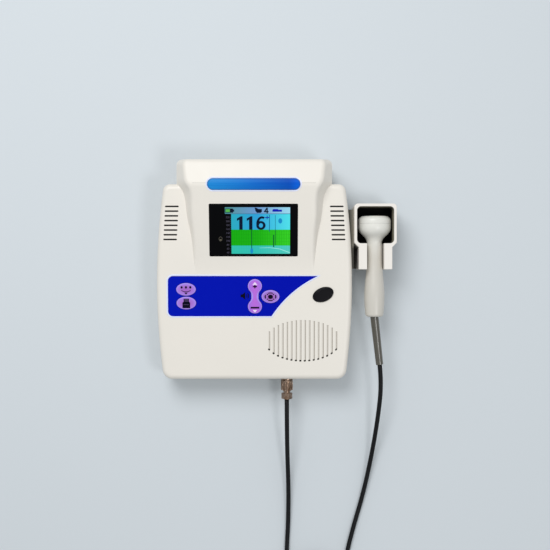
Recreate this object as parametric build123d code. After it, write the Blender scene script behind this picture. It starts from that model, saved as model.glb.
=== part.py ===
from build123d import *

import math
import os

# Fetal doppler monitor: a desktop console lying on its feet, a probe in a side cradle and the
# probe's lead. Millimetres, +Z up, +Y towards the rear, X across; y = 0 is the front wall and
# x = 0 the console's centre line. All pieces are moved together at the end, so that the origin
# is under the middle of the model without its lead.

# --- Console plan -------------------------------------------------------------------------
front_half_width = 109.5
belly_half_width = 117.0
belly_y = 108.0
shoulder_half_width = 108.0
shoulder_y = 233.7
front_corner_radius = 12.0
shoulder_corner_radius = 9.0
hump_half_width = 92.4
hump_front_y = 150.0
hump_corner_radius = 7.0
rear_y = 262.9

# --- Console heights ----------------------------------------------------------------------
foot_height = 3.0
parting_z = 24.0
front_height = 47.5
face_slope = 4.0
wall = 2.5
rim_radius = 6.0
bottom_radius = 3.0
lip_height = 2.0
lip_fit = 0.12

# --- Display pod --------------------------------------------------------------------------
display_slope = 15.0
display_start_y = 133.0
crest_y = 232.3
back_slope = 12.0
crest_radius = 14.0
pod_blend_radius = 140.0
pod_sink = 0.2
pod_draft = 30.0
pod_rear_draft = 4.0
pod_ref_z = 60.0
pod_corner_radius = 8.0
pod_edge_radius = 6.0
pod_side = ((93.5, 240.0), (87.6, 226.0), (80.9, 197.0), (76.6, 179.0), (71.1, 145.0), (69.5, 110.0))
pod_low_z, pod_high_z = 40.0, 105.0

# --- Display ------------------------------------------------------------------------------
window_x, window_y = -0.8, 178.3
window_width, window_height = 104.8, 63.6
window_thickness = 1.8
window_corner_radius = 1.5
window_fit = 0.15
aperture_ledge = 4.0
lcd_width, lcd_height, lcd_depth = 96.0, 62.0, 6.0
lcd_gap = 0.1
display_board_width, display_board_height, board_thickness = 116.0, 76.0, 1.6

# --- Accent strip on the crest ------------------------------------------------------------
strip_x, strip_y = -0.3, 231.8
strip_length, strip_width, strip_thickness = 109.2, 13.8, 0.7

# --- Key panel and keys -------------------------------------------------------------------
panel_left, panel_right, panel_right_front = -103.2, 75.3, 20.3
panel_front_y, panel_rear_y = 76.3, 124.3
panel_arc = (45.5, 105.0)
panel_corner_radius = 6.0
panel_thickness, panel_recess, panel_fit = 1.0, 0.7, 0.2
key_rise = 1.0
key_gap = 0.4
key_edge_radius = 0.6
key_travel = 0.8
flange_gap = 0.1
flange_thickness = 1.2
stem_radius, stem_length = 2.5, 4.0
oval_keys = {
    "filter_key": (-81.7, 108.3, 23.5, 15.2),
    "record_key": (-81.4, 91.9, 23.5, 15.2),
    "mode_key": (19.2, 99.7, 21.4, 15.6),
}
oval_flange_reach = 1.0
oval_flange_width = 10.0
rocker_x, rocker_y = 0.6, 100.0
rocker_lobe_radius, rocker_length, rocker_neck = 8.45, 41.3, 8.6
rocker_waist_share = 0.864
rocker_swing = 3.0
rocker_axle_radius, rocker_axle_length, rocker_axle_depth = 1.2, 13.0, 6.0
axle_fit = 0.06
ear_thickness, ear_gap = 2.5, 0.3

# --- Power button -------------------------------------------------------------------------
power_x, power_y = 82.1, 102.0
power_length, power_width, power_tilt = 25.4, 16.4, 22.0
power_rise, power_travel = 2.2, 1.2
power_edge_radius = 1.4
collar_reach = 1.8

# --- Keypad board -------------------------------------------------------------------------
keypad_depth = 12.0
keypad_left, keypad_right, keypad_front_y, keypad_rear_y = -98.0, 98.0, 83.0, 117.0
switch_size, plunger_radius = 6.0, 1.8
keypad_post_x, keypad_post_radius = (-60.0, -22.0, 52.0), 3.0

# --- Vents and speaker --------------------------------------------------------------------
vent_count, vent_pitch, vent_shift = 8, 5.6, 0.34
vent_x, vent_rear_y = 98.0, 206.9
vent_length, vent_width = 16.3, 1.9
grille_x, grille_y = 57.7, 46.9
grille_half_length, grille_half_width = 44.9, 24.6
louvre_count, louvre_pitch, louvre_width, louvre_depth = 16, 5.36, 2.5, 1.1
grille_hole_length, grille_hole_width = 2.9, 2.0
speaker_radius, speaker_flange, speaker_seat = 28.0, 1.4, 3.0
basket_depth, magnet_radius, magnet_height = 10.0, 16.0, 8.0
speaker_screw_radius, speaker_screw_length, speaker_fit = 30.4, 4.0, 0.2
speaker_boss_radius = 3.0
speaker_ring_wall = 3.0
speaker_sheet, basket_slope = 1.0, 3.0
cone_margin, cone_throat, cone_paper, cone_lip, dust_cap_rise = 6.0, 7.0, 0.6, 1.0, 3.0
speaker_screw_turns = (45, 135, 225, 315)

# --- Screws and posts ---------------------------------------------------------------------
screw_radius, screw_head_radius, screw_head_height = 1.5, 3.0, 2.2
thread_fit = 0.02
case_screws = ((-100.5, 13.5), (100.5, 13.5), (-98.5, 223.5), (98.5, 223.5))
case_post_radius, case_boss_radius = 5.0, 4.0
case_counterbore, case_screw_reach = 10.0, 9.0
screw_gap = 0.3
board_screw_length = 6.0

# --- Rear shell: feet, battery, boards ----------------------------------------------------
foot_places = ((-84.0, 32.0), (84.0, 32.0), (-78.0, 214.0), (78.0, 214.0))
foot_radius, foot_seat = 9.0, 0.5
battery_x, battery_y = 0.0, 168.0
cell_radius, cell_length, cell_count, cell_gap = 9.1, 65.0, 3, 0.3
bay_wall, bay_clearance = 2.0, 0.4
door_ledge, door_thickness, door_gap = 4.0, 2.0, 0.3
door_tab_width, door_tab_reach, door_tab_thickness, door_tab_x = 10.0, 2.0, 1.5, 22.0
door_grip_count, door_grip_pitch, door_grip_depth = 5, 2.4, 0.5
door_boss_radius, door_boss_height = 3.5, 9.0
main_board_x, main_board_y, main_board_z = -6.0, 64.0, 11.0
main_board_width, main_board_length = 150.0, 84.0
board_post_inset, board_post_radius = 6.0, 3.5
main_board_parts = ((-40, 10, 26, 26, 3.0), (10, 22, 16, 16, 2.4), (-8, -22, 20, 10, 6.0), (48, 26, 14, 22, 7.0))
jack_x, jack_z, jack_radius, jack_bore, jack_pin = -58.0, 14.0, 4.2, 2.9, 1.0
jack_body, jack_depth, jack_fit = 11.0, 12.0, 0.1

# --- Probe socket and plug ----------------------------------------------------------------
socket_x, socket_z = 39.0, 33.0
socket_thread_radius, socket_barrel_radius, socket_bore = 5.5, 4.8, 3.4
socket_flange_radius, socket_flange = 7.4, 1.6
socket_barrel_length, socket_tail = 12.0, 12.0
socket_fit = 0.1
socket_pin_radius, socket_pin_length = 0.7, 5.0
nut_width, nut_thickness, washer_radius, washer_thickness = 14.0, 3.0, 8.2, 0.6
ring_radius, ring_start, ring_end, ring_web = 7.3, 2.2, 14.4, 1.4
ring_flutes, flute_radius = 14, 0.8
ring_turn_fit = 0.1
ring_edge_radius, ring_smooth_length = 0.7, 2.5
plug_core_radius, plug_shoulder_radius, plug_waist_radius = 3.3, 4.8, 4.2
plug_shoulder, plug_core_tip = 1.2, 3.0
clamp_radius, clamp_start, clamp_end = 6.6, 17.6, 24.9
clamp_flats, clamp_edge_radius = 12.0, 0.8
plug_tail_radius, plug_length = 3.6, 25.8

# --- Probe (radii against the distance from the top of its head) --------------------------
probe_x, probe_top_y, probe_z = 144.6, 195.9, 42.0
head_radius, neck_radius, grip_radius, probe_end_radius = 20.0, 9.05, 12.1, 10.6
cap_length, head_length, neck_at, waist_at, grip_at, probe_length = 8.9, 12.0, 33.0, 63.3, 91.0, 120.9
shoulder_radius, shoulder_at = 16.5, 21.0
waist_radius = 9.85
cap_edge_radius, probe_end_fillet = 6.0, 3.5
probe_wall, probe_fit = 1.8, 0.1
spigot_length, spigot_wall = 3.0, 1.6
lens_radius, lens_rise, lens_thickness = 16.6, 0.8, 2.4
crystal_radius, crystal_split, crystal_thickness, backing_thickness = 14.5, 1.2, 1.4, 5.0
probe_board_gap, probe_board_length, probe_board_at = 0.3, 52.0, 36.0

# --- Strain relief ------------------------------------------------------------------------
relief_end = (151.4, 17.1, 37.0)
relief_root_radius, relief_tip_radius = 5.05, 4.45
relief_hole_gap = 0.5
relief_collar_radius, relief_collar = 7.6, 2.0
relief_root = 5.0

# --- Cradle -------------------------------------------------------------------------------
cradle_half_width, cradle_rear_y, cup_front_y = 25.35, 210.7, 164.0
cradle_leg_half_width, cradle_leg_rear_y, cradle_front_y = 20.0, 158.5, 132.1
cradle_wall, cradle_floor_z, cradle_floor, cradle_rim_z = 3.2, 20.5, 3.0, 58.0
cradle_corner_radius, cup_corner_radius, cradle_edge_radius = 4.5, 5.0, 0.8
cup_inner_front_y = 163.2
groove_gap = 0.45
liner_thickness, liner_drop, liner_gap = 1.0, 9.0, 2.2
leg_core_wall, leg_core_length = 2.4, 20.0
bracket_thickness, bracket_front_y, bracket_rear_y = 4.0, 133.0, 204.0
bracket_half_span = 18.0
bracket_top_z = 46.0
bracket_skin = 7.2
cradle_screw_places = ((-9.0, 148.0), (-9.0, 190.0), (9.0, 190.0))
bracket_screw_places = ((150.0, 34.0), (188.0, 34.0))
wall_screw_reach = 8.0

# --- Lead ---------------------------------------------------------------------------------
cord_diameter = 5.5
coil_x, coil_y, coil_turn_radius = 75.0, -262.0, 30.0
coil_band_width, coil_height, coil_edge_radius = 17.6, 10.8, 2.6
plug_route = (
    (39.0, -25.8, 33.0), (39.0, -50.0, 33.0), (39.7, -94.0, 19.5), (41.4, -138.0, 8.0),
    (41.0, -182.0, 2.75), (39.2, -224.0, 2.75), (39.5, -256.0, 2.75),
)
probe_route = (
    (151.4, 17.1, 37.0), (154.12, -6.06, 35.0), (150.6, -50.0, 24.0), (144.2, -98.0, 9.5),
    (134.5, -146.0, 2.75), (122.0, -188.0, 2.75), (113.0, -224.0, 2.75), (110.5, -256.0, 2.75),
)
route_round = 0.45


def sin(angle):
    return math.sin(math.radians(angle))


def cos(angle):
    return math.cos(math.radians(angle))


def tan(angle):
    return math.tan(math.radians(angle))


def face_z(y):
    """Height of the lower face over the plan distance y."""
    return front_height + y * tan(face_slope)


face_plane = Plane(origin=(0, 0, front_height), x_dir=(1, 0, 0), z_dir=(0, -sin(face_slope), cos(face_slope)))
display_plane = Plane(
    origin=(0, display_start_y, face_z(display_start_y) - pod_sink),
    x_dir=(1, 0, 0),
    z_dir=(0, -sin(display_slope), cos(display_slope)),
)
probe_frame = Plane(origin=(probe_x, probe_top_y, probe_z), x_dir=(1, 0, 0), z_dir=(0, -1, 0))
socket_frame = Plane(origin=(socket_x, 0, socket_z), x_dir=(1, 0, 0), z_dir=(0, -1, 0))


def on_face(x, y, depth=0.0):
    """Place on the lower face over the plan point (x, y), this far under its surface."""
    return face_plane.location * Pos(x, y / cos(face_slope), -depth)


def on_display(x, y, depth=0.0):
    """Place on the display face over the plan point (x, y), this far under its surface."""
    return display_plane.location * Pos(x, (y - display_start_y) / cos(display_slope), -depth)


def rod(radius, low, high):
    """Cylinder about the local Z axis between two levels."""
    return Pos(0, 0, low) * Cylinder(radius, high - low, align=(Align.CENTER, Align.CENTER, Align.MIN))


def block(width, length, low, high):
    """Box centred on the local Z axis between two levels."""
    return Pos(0, 0, low) * Box(width, length, high - low, align=(Align.CENTER, Align.CENTER, Align.MIN))


def screw(length):
    """Pan-head screw pointing up the local Z axis, its head's underside at 0."""
    head = fillet(rod(screw_head_radius, -screw_head_height, 0).edges().group_by(Axis.Z)[0], screw_head_height / 3)
    slot = block(screw_head_radius * 1.3, screw_head_radius / 4, -screw_head_height, -screw_head_height * 0.6)
    return head + rod(screw_radius, 0, length) - slot - Rot(0, 0, 90) * slot


# --- Console form -------------------------------------------------------------------------


def console_outline(inset):
    """Plan of the lower body: bowed sides between a square front and the shoulders."""
    front, rear = inset, shoulder_y - inset
    half_front, half_belly = front_half_width - inset, belly_half_width - inset
    half_rear = shoulder_half_width - inset
    face = make_face([
        Line((-half_front, front), (half_front, front)),
        ThreePointArc((half_front, front), (half_belly, belly_y), (half_rear, rear)),
        Line((half_rear, rear), (-half_rear, rear)),
        ThreePointArc((-half_rear, rear), (-half_belly, belly_y), (-half_front, front)),
    ])
    face = fillet(face.vertices().sort_by(Axis.Y)[:2], front_corner_radius - inset)
    return fillet(face.vertices().sort_by(Axis.Y)[-2:], shoulder_corner_radius - inset)


def hump_outline(inset):
    """Plan of the block that carries the rear of the pod."""
    half, rear = hump_half_width - inset, rear_y - inset
    face = Polygon((-half, hump_front_y), (half, hump_front_y), (half, rear), (-half, rear), align=None)
    return fillet(face.vertices().sort_by(Axis.Y)[-2:], hump_corner_radius - inset)


def pod_outline(z, inset):
    """Plan of the pod at height z: its walls lean in as they rise and flare to the rear."""
    lean = (z - pod_ref_z) * tan(pod_draft) + inset / cos(pod_draft)
    rear = rear_y - (z - pod_ref_z) * tan(pod_rear_draft) - inset
    side = [(half - lean, y) for half, y in pod_side]
    mirrored = [(-x, y) for x, y in reversed(side)]
    half, radius = side[0][0], pod_corner_radius
    mid = radius * (1 - sin(45))
    run = (side[-1][0] - side[-2][0], side[-1][1] - side[-2][1])
    corner = ThreePointArc((half - radius, rear), (half - mid, rear - mid), (half, rear - radius))
    return Pos(0, 0, z) * make_face([
        Line((radius - half, rear), (half - radius, rear)),
        corner,
        Line((half, rear - radius), side[0]),
        Spline(side, tangents=[(0, -1), run]),
        Line(side[-1], mirrored[0]),
        Spline(mirrored, tangents=[(run[0], -run[1]), (0, 1)]),
        Line(mirrored[-1], (-half, rear - radius)),
        mirror(corner, Plane.YZ),
    ])


def lower_body(inset):
    """Body under the tilted lower face, with its rim rounded."""
    body = extrude(Pos(0, 0, foot_height + inset) * console_outline(inset), amount=2 * front_height)
    body &= face_plane.location * block(4 * belly_half_width, 4 * rear_y, -4 * front_height, -inset)
    return fillet(body.faces().sort_by(Axis.Z)[-1].edges(), rim_radius - inset)


def pod_body(inset):
    """Raised pod: leaning walls under a profile that blends out of the lower face."""
    sink = pod_sink + inset
    start_y, end_y = display_start_y - 50, rear_y + 30
    low_z = face_z(display_start_y) - sink
    crest_z = low_z + (crest_y - display_start_y) * tan(display_slope)
    ridge = FilletPolyline(
        (start_y, face_z(start_y) - sink),
        (display_start_y, low_z),
        (crest_y, crest_z),
        (end_y, crest_z - (end_y - crest_y) * tan(back_slope)),
        radius=[pod_blend_radius + inset, crest_radius - inset],
    )
    under = [Line(ridge @ 1, (end_y, 0)), Line((end_y, 0), (start_y, 0)), Line((start_y, 0), ridge @ 0)]
    cover = extrude(Plane.YZ * make_face([*ridge.edges(), *under]), amount=2 * hump_half_width, both=True)
    body = loft([pod_outline(pod_low_z, inset), pod_outline(pod_high_z, inset)], ruled=True) & cover
    tops = [face for face in body.faces() if face.normal_at().Z > cos(pod_draft)]
    sides = [edge for face in body.faces() if abs(face.normal_at().Z) < cos(pod_draft) for edge in face.edges()]
    rim = [
        edge for face in tops for edge in face.edges()
        if any(edge.is_same(side) for side in sides) and edge.center().Y > start_y + 1
    ]
    body = fillet([edge for edge in rim if edge.center().Y > pod_side[-1][1] + 1], pod_edge_radius - inset)
    half = hump_half_width - inset
    front = Pos(0, (start_y + hump_front_y) / 2, 0) * block(2 * half, hump_front_y - start_y, 0, pod_high_z)
    return body & (extrude(hump_outline(inset), amount=pod_high_z) + front)


def console_form(inset):
    """The console's outer form moved inwards by an inset: body, hump block and pod."""
    hump = extrude(Pos(0, 0, foot_height + inset) * hump_outline(inset), amount=pod_low_z + 1 - foot_height - inset)
    return lower_body(inset) + hump + pod_body(inset)


def lip_ring(outer_inset, inner_inset, height):
    """Upright ring on the parting line between two insets of the console's plan."""
    plan = (console_outline(outer_inset) + hump_outline(outer_inset)) - (
        console_outline(inner_inset) + hump_outline(inner_inset)
    )
    return extrude(Pos(0, 0, parting_z) * plan, amount=height)


outer_form = console_form(0)
outer_form = fillet(outer_form.edges().group_by(Axis.Z)[0], bottom_radius)
console_skin = outer_form - console_form(wall)


# --- Shapes shared by the front shell and the pieces that seat in it ------------------------


def window_plate(grow, low, high):
    """Window blank on the display face, between two depths."""
    plate = RectangleRounded(window_width + 2 * grow, window_height + 2 * grow, window_corner_radius)
    return on_display(window_x, window_y, high) * extrude(plate, amount=high - low)


def panel_outline():
    """Plan of the key panel: square with rounded left corners and a hollow curved right end."""
    face = make_face([
        Line((panel_left, panel_front_y), (panel_left, panel_rear_y)),
        Line((panel_left, panel_rear_y), (panel_right, panel_rear_y)),
        ThreePointArc((panel_right, panel_rear_y), panel_arc, (panel_right_front, panel_front_y)),
        Line((panel_right_front, panel_front_y), (panel_left, panel_front_y)),
    ])
    return fillet(face.vertices().sort_by(Axis.X)[:2], panel_corner_radius)


def panel_blank(grow, low, high):
    """Panel blank on the lower face, between two depths."""
    plan = offset(panel_outline(), amount=grow) if grow else panel_outline()
    return on_face(0, 0, high) * extrude(plan, amount=high - low)


def rocker_outline(grow):
    """Plan of the volume rocker: two round lobes that sweep into a neck over most of its length."""
    reach, neck = rocker_length / 2 - rocker_lobe_radius, rocker_neck / 2
    lobes = [Pos(0, side * reach) * Circle(rocker_lobe_radius) for side in (1, -1)]
    plan = lobes[0] + lobes[1] + Rectangle(rocker_neck, 2 * reach)
    inner = [v for v in plan.vertices() if abs(abs(v.X) - neck) < 0.01]
    sweep = (rocker_waist_share * reach) ** 2 - rocker_lobe_radius**2 + neck**2
    plan = fillet(inner, sweep / (rocker_lobe_radius - neck) / 2)
    return offset(plan, amount=grow) if grow else plan


def key_blank(name, grow, low, high):
    """Oval key blank through the lower face, between two depths."""
    x, y, length, width = oval_keys[name]
    return on_face(x, y, high) * extrude(Ellipse(length / 2 + grow, width / 2 + grow), amount=high - low)


def rocker_blank(grow, low, high):
    """Volume rocker blank through the lower face, between two depths."""
    return on_face(rocker_x, rocker_y, high) * extrude(rocker_outline(grow), amount=high - low)


def power_blank(grow, low, high):
    """Power button blank through the lower face, between two depths."""
    plan = Rot(0, 0, power_tilt) * Ellipse(power_length / 2 + grow, power_width / 2 + grow)
    return on_face(power_x, power_y, high) * extrude(plan, amount=high - low)


# --- Front shell ----------------------------------------------------------------------------


def vent_slots():
    """Rows of slots in both shoulders; each row follows the side outwards."""
    slots = []
    for side in (1, -1):
        for row in range(vent_count):
            x = side * (vent_x + row * vent_shift)
            y = vent_rear_y - row * vent_pitch
            slots.append(on_face(x, y, 2 * wall) * extrude(SlotOverall(vent_length, vent_width), amount=4 * wall))
    return slots


def grille_cuts():
    """Louvres inside an oval, each slanting down to its right side, with a hole at its front end."""
    cuts = []
    right, reach = louvre_width / 2, 3 * louvre_width / 2
    slant = Polygon((right, -louvre_depth), (right, wall), (-reach, wall), (-reach, louvre_depth), align=None)
    for index in range(louvre_count):
        x = (index - (louvre_count - 1) / 2) * louvre_pitch
        share = math.sqrt(1 - (x / grille_half_length) ** 2)
        half = grille_half_width * share
        louvre = Rot(90, 0, 0) * extrude(slant, amount=half, both=True)
        cuts.append(on_face(grille_x + x, grille_y) * louvre)
        turn = math.degrees(math.atan(grille_half_width * x / (grille_half_length**2 * share)))
        hole = extrude(Rot(0, 0, turn) * Ellipse(grille_hole_length / 2, grille_hole_width / 2), amount=3 * wall)
        cuts.append(on_face(grille_x + x, grille_y - half, 2 * wall) * hole)
    return cuts


def speaker_place(turn, radius, depth=0.0):
    """Place around the speaker's axis."""
    return on_face(grille_x, grille_y, depth) * Rot(0, 0, turn) * Pos(radius, 0, 0)


def front_bosses():
    """Posts under the front shell's face for the case, speaker, keypad and display screws."""
    bosses = [Pos(x, y, 0) * rod(case_boss_radius, parting_z, 2 * front_height) for x, y in case_screws]
    ring = rod(speaker_radius + 1, -wall - speaker_seat, -wall / 2)
    ring -= rod(speaker_radius + 1 - speaker_ring_wall, -2 * wall - speaker_seat, 0)
    bosses.append(on_face(grille_x, grille_y) * ring)
    seat = wall + speaker_seat + speaker_flange
    flange_room = on_face(grille_x, grille_y) * rod(speaker_radius + speaker_fit, -2 * seat, -wall - speaker_seat)
    for turn in speaker_screw_turns:
        boss = speaker_place(turn, speaker_screw_radius) * rod(speaker_boss_radius, -seat, -wall / 2)
        bosses.append(boss - flange_room)
    for x in keypad_post_x:
        bosses.append(on_face(x, rocker_y) * rod(keypad_post_radius, -keypad_depth, -wall / 2))
    for x, y in display_posts():
        bosses.append(on_display(x, y) * rod(keypad_post_radius, -display_board_depth(), -wall / 2))
    for side in (1, -1):
        ear_x = rocker_x + side * (rocker_axle_length / 2 - ear_thickness / 2)
        low = rocker_axle_depth + 2 * rocker_axle_radius
        bosses.append(on_face(ear_x, rocker_y) * block(ear_thickness, 4 * rocker_axle_radius, -low, -wall / 2))
    return [boss & outer_form for boss in bosses]


def display_board_depth():
    """Depth of the display board's upper face under the display face."""
    return wall + lcd_gap + lcd_depth


def display_posts():
    """Plan points of the four posts at the display board's corners."""
    across = display_board_width / 2 - board_post_inset
    along = (display_board_height / 2 - board_post_inset) * cos(display_slope)
    return [(window_x + sx * across, window_y + sy * along) for sx in (1, -1) for sy in (1, -1)]


def front_shell():
    """Upper moulding with the pod, openings, recesses, screw posts and hinge ears."""
    shell = split(console_skin, bisect_by=Plane.XY.offset(parting_z), keep=Keep.TOP)
    shell -= lip_ring(wall / 2, wall + 1, lip_height + lip_fit)
    shell += front_bosses()
    shell -= window_plate(window_fit, -wall, window_thickness)
    aperture = Rectangle(window_width - 2 * aperture_ledge, window_height - aperture_ledge)
    shell -= on_display(window_x, window_y, 2 * wall) * extrude(aperture, amount=3 * wall)
    shell -= panel_blank(panel_fit, -wall, panel_recess)
    for name in oval_keys:
        shell -= key_blank(name, key_gap, -wall, 2 * wall)
    shell -= rocker_blank(key_gap, -wall, wall + ear_gap)
    shell -= power_blank(key_gap, -2 * wall, 2 * wall)
    shell -= vent_slots()
    shell -= grille_cuts()
    axle = Rot(0, 90, 0) * Cylinder(rocker_axle_radius + axle_fit, rocker_axle_length)
    shell -= on_face(rocker_x, rocker_y, rocker_axle_depth) * axle
    pilot = screw_radius + thread_fit
    for x, y in case_screws:
        shell -= Pos(x, y, parting_z) * rod(pilot, -1, case_screw_reach + 1)
    seat = wall + speaker_seat + speaker_flange
    for turn in speaker_screw_turns:
        shell -= speaker_place(turn, speaker_screw_radius, seat) * rod(pilot, -1, seat - wall)
    for x in keypad_post_x:
        shell -= on_face(x, rocker_y, keypad_depth) * rod(pilot, -1, board_screw_length)
    for x, y in display_posts():
        shell -= on_display(x, y, display_board_depth()) * rod(pilot, -1, board_screw_length)
    shell -= socket_frame.location * rod(socket_thread_radius + socket_fit, -2 * wall, wall)
    shell -= bracket_screw_holes(pilot)
    return shell


# --- Rear shell -----------------------------------------------------------------------------

bay_width = cell_length + 2 * bay_clearance
bay_length = cell_count * (2 * cell_radius + cell_gap) - cell_gap + 2 * bay_clearance
bay_top_z = foot_height + door_thickness + 2 * cell_radius + 2 * bay_clearance
door_width, door_length = bay_width + 2 * door_ledge, bay_length + 2 * door_ledge
door_screw_y = battery_y - door_length / 2 - door_boss_radius


def board_posts():
    """Plan points of the main board's four posts."""
    across = main_board_width / 2 - board_post_inset
    along = main_board_length / 2 - board_post_inset
    return [(main_board_x + sx * across, main_board_y + sy * along) for sx in (1, -1) for sy in (1, -1)]


def door_blank(grow, low, high):
    """Battery door blank, with the ear that takes its screw, between two heights."""
    plate = Pos(battery_x, battery_y, 0) * block(door_width + 2 * grow, door_length + 2 * grow, low, high)
    return plate + Pos(battery_x, door_screw_y, 0) * rod(screw_head_radius + 1 + grow, low, high)


def door_tabs(grow):
    """Tongues on the door's rear edge that hook over the bay's ledge."""
    reach = door_tab_reach + grow
    tab = block(door_tab_width + 2 * grow, 2 * reach, door_thickness, door_thickness + door_tab_thickness + grow)
    place = Pos(battery_x, battery_y + door_length / 2, foot_height)
    return [place * Pos(side * door_tab_x, 0, 0) * tab for side in (1, -1)]


def rear_shell():
    """Lower moulding with its lip, screw posts, battery bay, board posts and foot seats."""
    floor_z = foot_height + wall
    shell = split(console_skin, bisect_by=Plane.XY.offset(parting_z), keep=Keep.BOTTOM)
    shell += lip_ring(wall / 2 + lip_fit, wall, lip_height)
    shell += [Pos(x, y, 0) * rod(case_post_radius, foot_height + 1, parting_z) for x, y in case_screws]
    shell += [Pos(x, y, 0) * rod(board_post_radius, foot_height + 1, main_board_z) for x, y in board_posts()]
    bay = Pos(battery_x, battery_y, 0)
    shell += bay * block(bay_width + 2 * bay_wall, bay_length + 2 * bay_wall, foot_height + 1, bay_top_z + bay_wall)
    shell += bay * block(door_width + 2 * wall, door_length + 2 * wall, foot_height + 1, floor_z + wall)
    shell += Pos(battery_x, door_screw_y, 0) * rod(door_boss_radius + wall, foot_height + 1, floor_z + door_boss_height)
    jack_base = block(jack_body, jack_depth, foot_height + 1, jack_z - jack_body / 2)
    shell += Pos(jack_x, rear_y - wall - jack_depth / 2, 0) * jack_base
    shell -= door_blank(door_gap, foot_height - 1, foot_height + door_thickness)
    shell -= bay * block(bay_width, bay_length, foot_height, bay_top_z)
    shell -= door_tabs(door_gap)
    pilot = screw_radius + thread_fit
    shell -= Pos(battery_x, door_screw_y, foot_height) * rod(pilot, 0, door_boss_height)
    for x, y in case_screws:
        shell -= Pos(x, y, 0) * rod(screw_head_radius + screw_gap, 0, foot_height + case_counterbore)
        shell -= Pos(x, y, 0) * rod(pilot, 0, 2 * parting_z)
    for x, y in board_posts():
        shell -= Pos(x, y, main_board_z) * rod(pilot, -board_screw_length, 1)
    for x, y in foot_places:
        shell -= Pos(x, y, 0) * rod(foot_radius + screw_gap / 2, 0, foot_height + foot_seat)
    shell -= jack_frame().location * rod(jack_radius + jack_fit, -wall - 1, 1)
    return shell


def battery_door():
    """Cover plate with two tongues, a screw ear and grip ribs cut across it."""
    door = door_blank(0, foot_height, foot_height + door_thickness) + door_tabs(0)
    door -= Pos(battery_x, door_screw_y, foot_height) * rod(screw_radius + screw_gap, -1, 2 * door_thickness)
    groove = block(door_tab_width * 2, door_grip_pitch / 2, foot_height - 1, foot_height + door_grip_depth)
    for index in range(door_grip_count):
        y = battery_y - door_length / 2 + 2 * wall + index * door_grip_pitch
        door -= Pos(battery_x, y, 0) * groove
    return door


def battery_cells():
    """Row of round cells lying across the bay."""
    middle = (cell_count - 1) / 2
    pitch = 2 * cell_radius + cell_gap
    z = foot_height + door_thickness + bay_clearance + cell_radius
    cell = Rot(0, 90, 0) * Cylinder(cell_radius, cell_length)
    cell = fillet(cell.edges(), cell_radius / 12)
    return [Pos(battery_x, battery_y + (index - middle) * pitch, z) * cell for index in range(cell_count)]


def feet():
    """Rubber pads glued into their seats."""
    pad = rod(foot_radius, 0, foot_height + foot_seat)
    pad = fillet(pad.edges().group_by(Axis.Z)[0], foot_height / 3)
    return [Pos(x, y, 0) * pad for x, y in foot_places]


def main_board():
    """Circuit board with its screened module, chips and connectors."""
    board = Pos(main_board_x, main_board_y, 0)
    plate = board * block(main_board_width, main_board_length, main_board_z, main_board_z + board_thickness)
    top = main_board_z + board_thickness
    for x, y, width, length, height in main_board_parts:
        plate += board * Pos(x, y, 0) * block(width, length, top, top + height)
    for x, y in board_posts():
        plate -= Pos(x, y, 0) * rod(screw_radius + screw_gap, 0, 2 * top)
    return plate


def jack_frame():
    """Frame at the charging jack on the rear wall, its Z axis pointing out."""
    return Plane(origin=(jack_x, rear_y, jack_z), x_dir=(-1, 0, 0), z_dir=(0, 1, 0))


def charge_jack():
    """Charging socket: block inside, barrel through the wall, centre pin."""
    body = block(jack_body, jack_body, -wall - jack_depth, -wall) + rod(jack_radius, -wall, 0)
    body -= rod(jack_bore, -jack_depth, 1)
    return jack_frame().location * (body + rod(jack_pin, -jack_depth - 1, -1))


# --- Display, strip and panel ---------------------------------------------------------------


def display_window():
    """Flat glass in the display face."""
    return window_plate(0, 0, window_thickness)


def display_module():
    """Display cell with its metal frame behind the window."""
    place = on_display(window_x, window_y, wall + lcd_gap + lcd_depth)
    return place * block(lcd_width, lcd_height, 0, lcd_depth)


def display_board():
    """Board that carries the display module, on four posts."""
    place = on_display(window_x, window_y, display_board_depth() + board_thickness)
    board = place * block(display_board_width, display_board_height, 0, board_thickness)
    for x, y in display_posts():
        board -= on_display(x, y, display_board_depth()) * rod(screw_radius + screw_gap, -2 * board_thickness, 1)
    return board


def accent_strip():
    """Thin round-ended strip that follows the crest of the pod."""
    pill = extrude(Pos(strip_x, strip_y, 0) * SlotOverall(strip_length, strip_width), amount=2 * front_height)
    return (pod_body(-strip_thickness) & pill) - outer_form


def keypad_overlay():
    """Key panel sheet in its recess, open where the keys come through."""
    sheet = panel_blank(0, panel_recess - panel_thickness, panel_recess)
    for name in oval_keys:
        sheet -= key_blank(name, key_gap, -wall, wall)
    return sheet - rocker_blank(key_gap, -wall, wall)


# --- Keys -----------------------------------------------------------------------------------


def rounded_top(blank, normal, radius):
    """Rounds the outer rim of a key blank."""
    top = max(blank.faces(), key=lambda face: face.center().dot(normal))
    return fillet(top.edges(), radius)


def oval_key(name):
    """Oval key cap with a retaining bar under the shell and a stem over its switch."""
    x, y, length, _ = oval_keys[name]
    bar_top = wall + flange_gap
    bar_low = bar_top + flange_thickness
    cap = rounded_top(key_blank(name, 0, -key_rise, bar_low), face_plane.z_dir, key_edge_radius)
    bar = block(length + 2 * oval_flange_reach, oval_flange_width, -bar_low, -bar_top)
    return cap + on_face(x, y) * (bar + rod(stem_radius, -bar_low - stem_length, -bar_low))


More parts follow.
